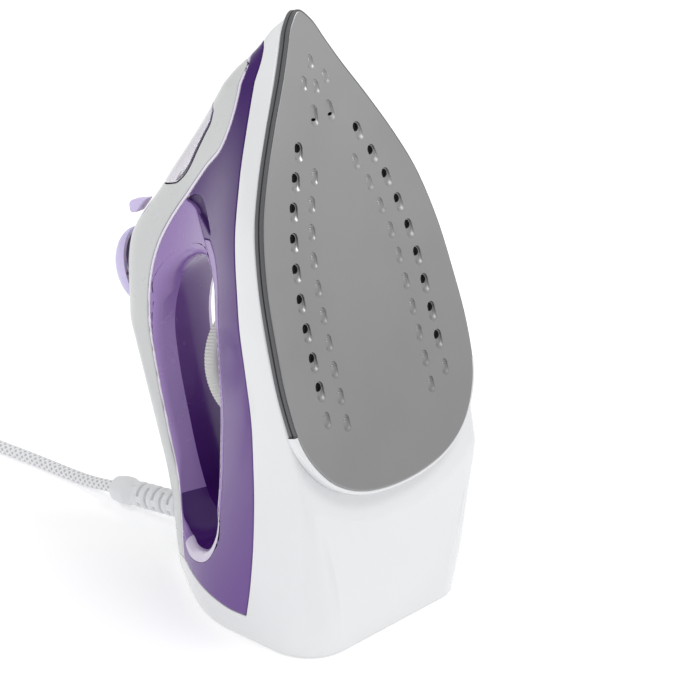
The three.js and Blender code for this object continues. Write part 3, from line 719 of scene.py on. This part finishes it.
def underside(s, x):
    """Height of the bottom: flat behind the plate up to a crease, then rising towards the floor."""
    behind = HEEL_START - CREASE - s
    steep = (section_bottom(REAR) - BODY_BOTTOM) / (HEEL_START - CREASE - REAR)
    spots = np.stack([x.ravel(), (s + shear(s) * BODY_BOTTOM).ravel()], -1)
    away = -polygon_distance(spots, sole_line).reshape(np.shape(x)) - CREASE
    rise = behind + (away - behind) * (1 - ease(behind / 60))
    return BODY_BOTTOM + steep * np.maximum(rise, 0)


def body_grid():
    """The whole outer form as a grid: sections by points round each, from the bottom's middle."""
    nose_part = 196 + 19.55 * np.sin(np.linspace(0, pi / 2, 34)[1:])
    s = np.concatenate([np.linspace(REAR + 0.5, 196, 226), nose_part])
    s = s[:, None]
    low, high, top, corner = underside(s, 0.9 * skirt_half(s)), ridge(s), crown(s), corner_radius(s)
    a = np.linspace(0, pi / 2, 8)[None]
    corner_y = low + corner * (1 - np.cos(a))
    corner_x = flank_half(s, corner_y) - corner * (1 - np.sin(a)) * nose(s)
    t = np.linspace(0, 1, 100)[None, 1:]
    flank_y = low + corner + (high - top - low - corner) * t
    flank_x = flank_half(s, flank_y)
    a = np.linspace(0, pi / 2, 16)[None, 1:]
    crown_y = high - top + top * np.sin(a)
    crown_x = flank_half(s, crown_y) * np.cos(a)
    share = np.linspace(0, 1, 44)[None, :-1]
    under_x = np.maximum(corner_x[:, :1], 0.01) * share
    under_y = underside(s + 0 * under_x, under_x)
    half_x = np.concatenate([under_x, corner_x, flank_x, crown_x], 1)
    half_y = np.concatenate([under_y, corner_y, flank_y, crown_y], 1)
    x = np.concatenate([half_x, -half_x[:, -2:0:-1]], 1)
    y = np.concatenate([half_y, half_y[:, -2:0:-1]], 1)
    return np.stack([x, y, s + shear(s) * y], -1)


form = body_grid()


# ---- seams, seen from the side (u, h)
FAR = 330
housing_seam = spline([
    (208.5, 32), (207.8, 22), (205.5, 16), (200, 15.8), (190, 18.4), (172, 20.8), (153, 21.3), (134, 21.6),
    (114, 23.5), (93, 25.2), (72, 27.5), (50, 31.3), (28, 37.5), (8, 43.7), (-10, 49.9), (-28, 57.8),
    (-42, 65.3),
], 2)
foot_seam = spline([(-39.5, 74.5), (-35.2, 88), (-31.2, 104), (-28.4, 117), (-26, 127.5), (-25.5, 175)], 3)
cover_seam = spline([
    (-13, 128.3), (-1, 128.9), (19, 130.3), (38, 129.4), (60, 127.8), (87, 124), (108, 115.4),
    (122, 105), (134, 91.4), (145, 75.3), (156, 58), (164, 43.5), (175, 34.1), (191, 26.5), (199.8, 24.5),
    (201, 60),
], 2)
low_region = np.vstack([[(208.5, 90)], housing_seam, foot_seam,
                        [(-FAR, 175), (-FAR, -FAR), (FAR, -FAR), (FAR, 90)]])
cover_region = np.vstack([cover_seam, [(FAR, 60), (FAR, FAR), (-FAR, FAR), (-FAR, 127.5), (-27, 127.5)]])
GAP = 0.15

# ---- opening under the handle
opening_line = spline([
    (117, 68), (116, 82), (110, 95), (99, 106), (84, 114), (64, 118), (40, 120), (12, 121), (-3, 119),
    (-13, 112), (-18, 102), (-17, 92), (-9, 86), (10, 81), (40, 70.5), (70, 60), (92, 54), (107, 54), (114, 58),
], 1.6, closed=True)
OPENING_MIDDLE = (50, 92)
KEEL = 11.0                      # half width of the flat strip under the handle


def tunnel(line, x):
    """Points of the opening's wall: its outline carried to distance x from the middle."""
    over = ease((line[..., 1] - OPENING_MIDDLE[1] + 12) / 24)
    far = np.abs(x)
    rise = 0.012 * np.minimum(far, KEEL) ** 2 + 0.75 * np.maximum(far - KEEL, 0)
    rise = rise / (1 + (rise / 13.0) ** 6) ** (1 / 6)
    h = line[..., 1] + over * rise - (1 - over) * 0.001 * x ** 2
    return np.stack([x + 0 * h, h, line[..., 0] + 0 * h], -1)


def mouth_reach(line):
    """How far from the middle each point of the outline meets the outer form."""
    x = np.linspace(4, 62, 233)[None]
    wall = tunnel(line[:, None, :], x)
    s = section_of(wall[..., 2], wall[..., 1])
    out = x - full_half(s, wall[..., 1])
    first = np.argmax(out > 0, axis=1)
    rows = np.arange(len(line))
    a, b = out[rows, first - 1], out[rows, first]
    return x[0, first - 1] + (x[0, first] - x[0, first - 1]) * (-a / (b - a))


reach = mouth_reach(opening_line)
mouth = tunnel(opening_line, reach)
mouth_line = mouth[:, [2, 1]]


def outward(line):
    """Unit vectors that point out of a closed (u, h) line."""
    run = np.roll(line, -1, 0) - np.roll(line, 1, 0)
    side = np.stack([-run[:, 1], run[:, 0]], -1) / np.linalg.norm(run, axis=1, keepdims=True)
    area = (line[:, 0] * np.roll(line[:, 1], -1) - np.roll(line[:, 0], -1) * line[:, 1]).sum()
    return side if area < 0 else -side


EDGE_TANK, EDGE_GRIP, EDGE_REAR = 1.3, 2.6, 4.2
on_grip = polygon_distance(mouth_line, np.array([
    (150, 50), (150, 200), (-14.5, 200), (-14.5, 118), (0, 110), (80, 100), (106, 70), (116, 60.5), (118, 50)])) > 0
edge_size = np.where(on_grip, EDGE_GRIP, EDGE_TANK)
edge_size = np.where(~on_grip & (mouth_line[:, 0] < 2), EDGE_REAR, edge_size)
edge_size = np.where(on_grip & (mouth_line[:, 0] > 98), 6.0, edge_size)
edge_size = np.minimum(edge_size, np.maximum(-polygon_distance(mouth_line, cover_region) - 0.5, 0.4))
for _ in range(3):
    edge_size = (np.roll(edge_size, 1) + 2 * edge_size + np.roll(edge_size, -1)) / 4
rolled_line = mouth_line + outward(mouth_line) * edge_size[:, None]


def on_skin(line):
    """Points of the right flank over a (u, h) line."""
    s = section_of(line[:, 0], line[:, 1])
    return np.stack([full_half(s, line[:, 1]), line[:, 1], line[:, 0]], -1)


def rolled_edge(side):
    """The edge of the opening on one side, rolled from the skin into the wall: rows of arcs."""
    start = on_skin(rolled_line)
    end = tunnel(opening_line, reach - edge_size)
    t = np.linspace(0, 1, 9)[None, :, None]
    arcs = (1 - t) ** 2 * start[:, None] + 2 * t * (1 - t) * mouth[:, None] + t * t * end[:, None]
    return arcs * (side, 1, 1)


# ---- places on the cover
door_line = spline([(150, 83.6), (153.3, 77), (157.6, 71.1), (163.2, 65.1), (171.3, 56.1), (175.9, 50.9),
                    (180.6, 48.2)], 1.5)
door_region = np.vstack([[(150, 125)], door_line, [(187, 53), (187, 60), (187, 125)]])
BUTTON_AT, BUTTON_SIZE, BUTTON_BASE = np.array([0, 139, 108]), np.array([13.3, 15.3, 19.8]), 126.0
PRESS = 4


def door_gap(co):
    """Distance outside the filler door, which wraps over the ridge and down both flanks."""
    return -polygon_distance(co[:, [2, 1]], door_region)


def button_gap(co):
    """Distance outside the room that the split dome takes at rest and pressed."""
    def away(drop):
        q = (co - BUTTON_AT + (0, drop, 0)) / (BUTTON_SIZE + 0.3)
        return (np.linalg.norm(q, axis=1) - 1) * 15
    return np.where(co[:, 1] > 118, np.minimum(away(0), away(PRESS)), 50.0)


def lamp_gap(co):
    return np.where(co[:, 1] > 140, np.hypot(co[:, 0], co[:, 2] - LAMP[2]) - 3.6, 50.0)


# ---- shells
def side_of(co):
    return co[:, [2, 1]]


def inside(region):
    return lambda co: polygon_distance(side_of(co), region) - GAP


def outside(region):
    return lambda co: -polygon_distance(side_of(co), region) - GAP


def clear_of_opening(co):
    return 20 * (0.03 - polygon_distance(side_of(co), rolled_line))


def shell(name, cuts, radius, material, slot, replaces=(), body="base", sink=0, wall=2.2):
    """The part of the skin that every cut leaves: its edges rounded, and sunk below the skin if asked."""
    patch = grid_patch(form, wrap_cols=True)
    patch.crop(patch.face_values(cuts[0](patch.co), -np.inf).max(1) > -3)
    patch.trim(np.min([cut(patch.co) for cut in cuts], axis=0), radius)
    patch.co = patch.co - patch.nor * sink
    patch.finish(name, material, body, slot, replaces, wall)


def edge_strip(rows):
    """The rolled edge of the opening on both sides, for a run of its outline."""
    parts = []
    for side in (1, -1):
        arcs = rolled_edge(side)[rows]
        parts.append((arcs.reshape(-1, 3), grid_faces(arcs.shape[0], arcs.shape[1])))
    return joined(parts)


grip_front = spline([(145, 74.5), (131, 66), (118, 57), (112, 54)], 2)
grip_region = np.vstack([grip_front, [(100, 60), (80, 90), (0, 105), (-14, 115), (-13.5, 121), (-13, 128.3)],
                         cover_seam[cover_seam[:, 0] < 145][2:]])

# The lavender lip round the opening's lower edge, and the sunk panel in front of the opening, painted dark purple as
# shade.
lip_line = spline([(126, 54), (119, 48), (95, 47), (72, 54), (52, 60), (30, 68), (8, 76), (-10, 81), (-16, 89),
                   (-20.6, 104), (-15, 128)], 2)
lip_region = np.vstack([lip_line, [(20, 110), (100, 80), (126, 70)]])
recess_line = spline([(142.4, 78.9), (143.8, 75.2), (143.6, 64.7), (137.6, 58.9), (128.5, 53.1), (132, 60.2),
                      (137, 68.5), (140.3, 74)], 1.2, closed=True)
grown_recess = recess_line + outward(recess_line) * 1.2
HIGHLIGHT_BAND_WIDTH = 1.7
off_low, off_cover, off_grip, off_recess = (
    outside(region) for region in (low_region, cover_region, grip_region, recess_line))


def round_sole(co):
    """Positive in the housing's bottom outside the room that the plate takes."""
    return np.where(co[:, 1] < 9, -polygon_distance(co[:, [0, 2]], sole_line) + 5.5, 50.0)


shell("housing", [inside(low_region), round_sole], 0.5, WHITE, "white_housing", ("lower_housing",))
shell("cover", [lambda co: polygon_distance(side_of(co), cover_region) - HIGHLIGHT_BAND_WIDTH - GAP, off_low,
                lambda co: door_gap(co) - 0.3, button_gap, lamp_gap],
      0.6, COVER, "pale_cover", ("handle_cover",), wall=0.7)
# A narrow band along the cover's edge, painted paler as a highlight on its rounded edge.
shell("cover_highlight_band", [inside(cover_region), off_low,
                     lambda co: HIGHLIGHT_BAND_WIDTH - GAP / 2 - polygon_distance(side_of(co), cover_region)],
      0.6, COVER_BAND_HIGHLIGHT, "pale_cover")
shell("grip_sides", [inside(grip_region), off_cover, off_recess, clear_of_opening],
      0.4, LAVENDER, "lavender_grip", ("handle_grip",))
shell("tank", [off_low, off_cover, off_grip, outside(lip_region), off_recess, clear_of_opening],
      0.6, TANK, "purple_tank", ("water_tank",))
shell("saddle_lip", [inside(lip_region), off_cover, off_grip, off_recess, clear_of_opening],
      0.3, LAVENDER, "lavender_grip")
# The sunk panel's dark purple is painted shade in the gap.
shell("recess", [inside(grown_recess), off_cover], 0.1, RECESS_SHADE, "lavender_grip", sink=2.0, wall=0.8)


# ---- wall of the opening
def wall_piece(name, rows, band, material, replaces=()):
    """The wall over a run of the outline, between two distances from the middle, on one or both sides."""
    line = opening_line[rows]
    ends = (reach - edge_size)[rows]
    low, high = (np.clip(edge, -ends, ends) for edge in band)
    share = np.linspace(0, 1, 49)
    grid = tunnel(line[:, None, :], low[:, None] + (high - low)[:, None] * share[None])
    points = grid.reshape(-1, 3)
    return piece(name, points, grid_faces(*grid.shape[:2]), material, "base", replaces, 0)


count = len(opening_line)


def nearest(rows, spot):
    return int(np.argmin(np.linalg.norm(opening_line[rows] - spot, axis=1)))


def rows_between(first, last):
    """Indices round the outline from first to last."""
    return np.arange(first, last + 1 + (count if last < first else 0)) % count


split_front, split_rear = (nearest(slice(None), spot) for spot in ((115, 61), (-17, 92)))
upper_rows, lower_rows = rows_between(split_front, split_rear), rows_between(split_rear, split_front)
# The wall under the handle, the rear bevels and the saddle's wall take the lavender darkened by painted shade.
wall_piece("grip_wall", upper_rows, (-KEEL, KEEL), SHADED_LAVENDER)
bevel_end = nearest(upper_rows, (4, 120.6))
for name, rows, material in (("grip_bevel", upper_rows[:bevel_end + 1], LAVENDER),
                             ("rear_bevel", upper_rows[bevel_end:], SHADED_LAVENDER)):
    wall_piece(name + "_left", rows, (-99, -KEEL), material)
    wall_piece(name + "_right", rows, (KEEL, 99), material)
wall_piece("saddle_wall", lower_rows, (-99, 99), SHADED_LAVENDER, ("grip_saddle",))
# Off the grip the opening's rolled edge is painted pale as a highlight; on the grip it keeps the lavender.
for name, owner, material in (("saddle_edge", False, ROLLED_EDGE_HIGHLIGHT), ("grip_edge", True, LAVENDER)):
    flags = on_grip == owner
    start = int(np.argmax(flags & ~np.roll(flags, 1)))
    size = int(np.argmin(np.roll(flags, -start)))
    points, faces = edge_strip(rows_between(start, (start + size) % count))
    piece(name, points, faces, material, "base", sharp=0)


# ---- soleplate
def level(line, h):
    """A flat (x, u) line laid at height h."""
    return np.stack([line[:, 0], np.full(len(line), float(h)), line[:, 1]], -1)


def inset_line(line, inset):
    """A closed (x, u) line drawn in by a distance."""
    return line + outward(line) * -inset


def outline_band(profile, closed=True):
    """A ring that follows the sole's outline with a section of (inset, height) points."""
    rows = [level(inset_line(sole_line, inset), h) for inset, h in profile]
    return np.vstack(rows), grid_faces(len(rows), len(sole_line), wrap_rows=closed, wrap_cols=True)


def sole_piece():
    """Flat plate with a rolled edge; its slots and dimples are sunk into it."""
    outer = [(1.5, 0.0), (1.2, 0.03), (0.92, 0.16), (0.8, 0.4), (0.8, 2.6), (1.2, 3.0), (6, 3.0)]
    edge = outline_band(outer, closed=False)
    outline = inset_line(sole_line, outer[0][0])
    stamps = steam_slots()
    loops = [outline] + [s[0] for s in stamps]
    edges, start = [], 0
    for loop in loops:
        n = len(loop)
        edges += [(start + i, start + (i + 1) % n) for i in range(n)]
        start += n
    co, _, faces, *_ = delaunay_2d_cdt([Vector(p) for p in np.vstack(loops)], edges, [], 1, 1e-5)
    co = np.array([tuple(p) for p in co])
    middle = np.array([co[list(f)].mean(0) for f in faces])
    keep = np.ones(len(faces), bool)
    for loop in loops[1:]:
        near = np.linalg.norm(middle - loop.mean(0), axis=1) < 12
        keep[near] &= polygon_distance(middle[near], loop) < 0
    plate = (level(co, 0), [f for f, k in zip(faces, keep) if k])
    points, all_faces = joined([edge, plate] + [(s[1], s[2]) for s in stamps])
    obj = piece("sole", points, all_faces, SOLE, "base", ("soleplate",), sharp=40)
    merge(obj, 0.02)
    heights = {v.index for v in obj.data.vertices if abs(v.co.y - plate_plane(v.co.z)) < 2e-6}
    for poly in obj.data.polygons:
        poly.use_smooth = not heights.issuperset(poly.vertices)
    hole_points, hole_faces = joined([(s[3], s[4]) for s in stamps if s[3] is not None])
    # The holes' walls and floors are painted dark grey as shade.
    piece("steam_holes", hole_points, hole_faces, HOLE_SHADE, "base", sharp=40)


def plate_plane(z):
    """Where the sole's flat face lies in the row frame, at a height."""
    return ((z / MM - STAND) * TAN - SHIFT) * MM


# Length, width, hole radius, where the hole is along the slot, and depth.
HOLED, DIMPLE = (9.2, 4.8, 2.0, 2.1, 1.15), (7.8, 4.2, 0.75, 1.7, 0.85)
TIP_MIDDLE, TIP_SIDE = (6.8, 3.8, 0.7, 1.3, 0.75), (7.2, 3.8, 0.7, 1.4, 0.75)
TIP_HOLED = (10.0, 4.6, 1.9, -2.7, 1.0)


def slot(x, u, turn, length, width, hole, hole_at, depth):
    """One slot at (x, u): a rounded outline that sinks to a round spot near one end.

    Over 1 mm of radius the spot is a steam hole with a wall and a floor."""
    n = 40
    a = np.linspace(0, 2 * pi, n, endpoint=False)

    def stadium(tip, heel, half):
        """A rounded outline between two ends along its length."""
        middle = np.where(np.sin(a) >= 0, tip - half, heel + half)
        return np.stack([half * np.cos(a), half * np.sin(a) + middle], -1)
    end = length / 2
    outline = stadium(end, -end, width / 2)
    basin = stadium(end - 0.3, -end + 0.28 * length, width / 2 - 0.3)
    mouth_ring = np.stack([hole * np.cos(a), hole * np.sin(a) + hole_at], -1)
    spin = np.array([[cos(turn), -sin(turn)], [sin(turn), cos(turn)]])

    def put(flat, h):
        return level(flat @ spin.T + (x, u), h)
    rings = [put(outline * (1 - t) + basin * t, fall * depth)
             for t, fall in ((0, 0), (0.1, 0.04), (0.35, 0.3), (0.65, 0.68), (0.9, 0.94), (1, 1))]
    rings += [put(basin * (1 - t) + mouth_ring * t, depth * (1 + 0.06 * t)) for t in (0.35, 0.7, 1)]
    loop = rings[0][:, [0, 2]]
    if hole > 1:
        stamp = (np.vstack(rings), grid_faces(len(rings), n, wrap_cols=True))
        wall = np.vstack([put(mouth_ring, 1.05 * depth), put(mouth_ring, 2.9)])
        return loop, *stamp, wall, list(grid_faces(2, n, wrap_cols=True)) + [list(range(n, 2 * n))]
    for t, fall in ((0.8, 0.98), (0.6, 0.7), (0.35, 0.5), (0.12, 0.45)):
        middle = mouth_ring.mean(0)
        rings.append(put(middle + (mouth_ring - middle) * t, fall * depth))
    faces = list(grid_faces(len(rings), n, wrap_cols=True)) + [[(len(rings) - 1) * n + i for i in range(n)]]
    return loop, np.vstack(rings), faces, None, None


OUTER_ROW = spline([(38.5, 45), (38.4, 58), (38, 84.1), (36, 110), (29.5, 135.1), (18.8, 158.7)], 1.0)
INNER_ROW = spline([(27.6, 40.3), (27.6, 52.3), (27.1, 76.3), (24.6, 112.4), (18.3, 135.6), (13.1, 146.4)], 1.0)


def steam_slots():
    """Ten slots a side in the outer row, ten shallow dimples inside them, and the group at the tip."""
    out = []
    for line, holes in ((OUTER_ROW, True), (INNER_ROW, False)):
        for i in range(10):
            at = i * (len(line) - 1) / 9
            k = min(int(at), len(line) - 2)
            p = line[k] + (line[k + 1] - line[k]) * (at - k)
            run = line[k + 1] - line[k]
            turn = atan2(-run[0], run[1]) * 0.6
            for side in (1, -1):
                size = HOLED if holes and i > 0 else DIMPLE
                out.append(slot(side * p[0], p[1], side * turn, *size))
    out += [slot(0, u, 0, *TIP_MIDDLE) for u in (194.1, 183.2)]
    for side in (1, -1):
        out.append(slot(side * 6.8, 186, side * 0.28, *TIP_SIDE))
        out.append(slot(side * 5, 171.4, side * 0.12, *TIP_HOLED))
    return out


sole_piece()


rim_section = [(6.2, 3.35), (0.9, 3.35), (0.9, 0.7), (0.7, 0.45), (0.4, 0.38), (0.2, 0.5), (0.12, 0.75),
               (0.12, 2.2), (0.25, 2.3), (0.8, 2.35), (0.8, 3.15), (0.25, 3.2), (0.12, 3.3), (0.12, 5.0),
               (0.25, 5.25), (0.5, 5.35), (6.2, 5.4)]
collar_section = [(6.2, 3.35), (0.95, 3.35), (0.95, 0.8), (0.6, 0.5), (0.1, 0.4), (-0.4, 0.55), (-0.7, 1.0),
                  (-0.8, 1.6), (-0.8, 5.0), (-0.5, 5.7), (6.2, 5.75)]
COLLAR_U = 44                    # the dark rim ends here; a white collar goes on round the rear
for name, section, ahead, material, slot_name, stands_for in (
        ("rim", rim_section, True, RIM, "rim", ("sole_rim",)),
        ("collar", collar_section, False, WHITE, "white_housing", ())):
    band_points, band_faces = outline_band(section)
    kept = (band_points[band_faces][..., 2].mean(1) > COLLAR_U) == ahead
    piece(name, band_points, band_faces[kept], material, "base", stands_for, sharp=30)


# ---- dial
DIAL_U, DIAL_R, DIAL_TOP = 61.0, 28.6, 84.0


def dial_piece():
    """A flat knob with a finely ribbed edge, a cone below and a ring of marks on top."""
    ribs, per = 108, 6
    n = ribs * per
    wave = np.tile(0.5 + 0.5 * np.cos(np.arange(per) * 2 * pi / per), ribs)
    top = DIAL_TOP
    profile = [(0, 73.9, 0), (10, 73.9, 0), (24, 75.4, 0), (26.6, 76.3, 0), (27.6, 77.4, 0),
               (DIAL_R - 0.2, 78.8, 0.4), (DIAL_R, 79.4, 1), (DIAL_R, 82.6, 1), (DIAL_R - 0.5, 83.4, 0.5),
               (27.2, 83.9, 0), (25.4, top, 0), (25.0, 83.8, 0), (24.4, 83.8, 0), (24.0, top, 0), (8, top, 0),
               (0, top, 0)]
    a = np.arange(n) * 2 * pi / n
    rows = []
    for r, h, rib in profile:
        rr = np.full(n, float(r)) - rib * 0.55 * (1 - wave)
        rows.append(np.stack([rr * np.cos(a), np.full(n, h), rr * np.sin(a)], -1))
    points = np.vstack(rows) + (0, 0, DIAL_U)
    obj = piece("dial", points, grid_faces(len(rows), n, wrap_cols=True), DIAL, "thermostat_dial",
                ("thermostat_dial",), sharp=30)
    merge(obj, 0.004)


dial_piece()


# ---- buttons and slider
def dome(side):
    """One half of the split dome: each half is a button of its own, with softened edges."""
    a = np.linspace(-pi / 2, pi / 2, 61)[:, None]
    b = np.linspace(0, pi, 91)[None]
    ball = np.stack([np.sin(a) + 0 * b, np.cos(a) * np.sin(b), np.cos(a) * np.cos(b)], -1)
    grid = ball * BUTTON_SIZE + BUTTON_AT
    patch = grid_patch(grid)
    to_middle = patch.co - BUTTON_AT
    if (np.sum(patch.nor * to_middle, 1) < 0).mean() > 0.5:
        patch.nor = -patch.nor
    value = np.minimum(side * patch.co[:, 0] - 0.35, patch.co[:, 1] - BUTTON_BASE)
    return patch.trim(value, 0.9)


for side, name in ((-1, "spray"), (1, "steam")):
    dome(side).finish(f"{name}_key", DOME, f"{name}_button", "lavender_button", (f"{name}_button",), wall=1.6)


def button_well():
    """The wall of the hole round both buttons, just clear of them at rest and pressed."""
    middle, size = BUTTON_AT - (0, PRESS / 2, 0), BUTTON_SIZE + (0.35, PRESS / 2 + 0.35, 0.35)
    a = np.linspace(0.02, pi - 0.02, 61)[:, None]
    b = np.linspace(0, 2 * pi, 97)[None, :-1]
    grid = np.stack([np.sin(a) * np.cos(b), np.cos(a) + 0 * b, np.sin(a) * np.sin(b)], -1) * size + middle
    patch = grid_patch(grid, wrap_cols=True)
    x, h, u = patch.co.T
    under = full_half(section_of(u, h), h) - np.abs(x) - 0.1
    value = np.minimum(np.where(h < ridge(section_of(u, h)), under, -1), h - 124)
    patch.crop(patch.face_values(value, np.inf).min(1) > 0)
    patch.finish("button_well", COVER, "base", "pale_cover", wall=0)


button_well()


def slider_piece():
    """The lever: a block with a side outline between two x, with rounded edges."""
    outline = [(136.3, 124.1), (142.3, 115.4), (142.3, 126), (141, 128), (137.5, 128.8), (136.3, 128)]
    n = len(outline)
    points = [(x, h, u) for x in (-10.8, -5.2) for u, h in outline]
    faces = [list(range(n)), list(range(2 * n - 1, n - 1, -1))]
    faces += [[i, i + n, (i + 1) % n + n, (i + 1) % n] for i in range(n)]
    obj = piece("slider_tab", points, faces, DOME, "steam_slider", ("steam_slider",), 40)

    def work(mesh):
        bmesh.ops.recalc_face_normals(mesh, faces=mesh.faces)
        bmesh.ops.bevel(mesh, geom=list(mesh.edges), offset=0.9 * MM, segments=4, profile=0.5, affect="EDGES")
        for face in mesh.faces:
            face.smooth = True
        for edge in mesh.edges:
            edge.smooth = True
    rework(obj, 50, work)


slider_piece()


# ---- filler door
shell("door", [lambda co: -door_gap(co) - GAP], 0.8, SMOKE, "smoked_door", ("filler_door",), "filler_door",
      wall=2.0)
MOUTH_AT, MOUTH_SIZE = (80.0, 166.0), (13, 14.5)
MOUTH_SLOPE = radians(53.13)


def mouth_gap(co):
    """Distance outside the oval mouth of the funnel, seen square to the slope."""
    h, u = co[:, 1] - MOUTH_AT[0], co[:, 2] - MOUTH_AT[1]
    along = u * cos(MOUTH_SLOPE) - h * sin(MOUTH_SLOPE)
    return (np.hypot(co[:, 0] / MOUTH_SIZE[0], along / MOUTH_SIZE[1]) - 1) * MOUTH_SIZE[0]


# Layers under the visor and under the hole it covers, each between two distances from the visor's edge.
for name, low, high, sink, material, slot_name, body, wall, cuts in (
        ("door_frame", 1.8, 4.4, 1.2, LAVENDER, "smoked_door", "filler_door", 1.0, []),
        ("door_panel", 4.4, 99, 2.4, WHITE, "smoked_door", "filler_door", 1.0, []),
        ("filler_side", 0.2, 1.4, 3.4, WHITE, "white_housing", "base", 5.2, []),
        ("filler_deck", 0.4, 99, 8.4, WHITE, "white_housing", "base", 0, [mouth_gap])):
    shell(name, [lambda co: -door_gap(co) - low, lambda co: high + door_gap(co), *cuts], 0.5,
          material, slot_name, (), body, sink, wall)


# ---- lamp
lens_points, lens_faces = lathe(
    [(0, 143.2), (3.1, 143.2), (3.15, 148.6), (2.9, 149.2), (2.2, 149.6), (1.1, 149.85), (0, 149.9)], 40)
lens = piece("lamp_lens", lens_points.reshape(-1, 3) + (0, 0, LAMP[2]), lens_faces, LENS, "base",
             ("pilot_lamp",), sharp=50)
merge(lens, 0.003)


# ---- CAD nodes that show as they are
KEPT = {
    "heating_element": STEEL, "steam_chamber_cover": STEEL, "thermostat": CERAMIC, "thermal_fuse": CERAMIC,
    "heel_plate": WHITE, "filler_door_pin": STEEL, "filler_funnel": WHITE, "spray_nozzle": WHITE,
    "tank_base": WHITE, "drip_valve_seat": RUBBER, "drip_valve_rod": BRASS, "dial_spindle": BLACK,
    "dial_seat": LAVENDER, "terminal_block": CERAMIC, "cord_clamp": BLACK, "cord_tie": BLACK,
}
for node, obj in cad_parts.items():
    material = KEPT.get(node)
    if material is None:
        for word, m in (("screw", STEEL), ("spring", STEEL), ("piston", BRASS), ("pump", WHITE),
                        ("pin", STEEL)):
            material = m if material is None and word in node else material
    if material is not None:
        obj.data.materials.clear()
        obj.data.materials.append(material)


# ---- floor and light
def floor_piece():
    f = Finish("floor", Roughness=0.6, Specular_IOR_Level=0.2, Emission_Color=(1, 1, 1, 1),
               Emission_Strength=0.26)
    f.made(f.ramp(f.noise(2), srgb(246, 246, 247), srgb(250, 250, 250)), None, f.bump(f.noise(200), 0.02, 0.0002))
    mesh = bpy.data.meshes.new("floor")
    mesh.from_pydata([(-6, -6, 0), (6, -6, 0), (6, 6, 0), (-6, 6, 0)], [], [(0, 1, 2, 3)])
    mesh.materials.append(f.material)
    added("floor", mesh)


def area(name, where, target, size, power):
    data = bpy.data.lights.new(name, "AREA")
    data.shape = "RECTANGLE"
    data.size, data.size_y = size
    data.energy = power
    light = added(name, data)
    light.location = where
    light.rotation_euler = (Vector(target) - Vector(where)).to_track_quat("-Z", "Y").to_euler()


floor_piece()
world = bpy.data.worlds.new("studio")
world.use_nodes = True
sky = world.node_tree.nodes["Background"].inputs
sky["Color"].default_value = (1, 1, 1, 1)
sky["Strength"].default_value = 0.66
bpy.context.scene.world = world
area("key", (-1.5, 0.9, 1.9), (0, 0, 0.1), (1.0, 1.0), 9)
area("top", (0.35, -0.9, 2.1), (0, -0.05, 0.12), (1.1, 0.8), 15)
bpy.context.scene.view_settings.view_transform = "Standard"
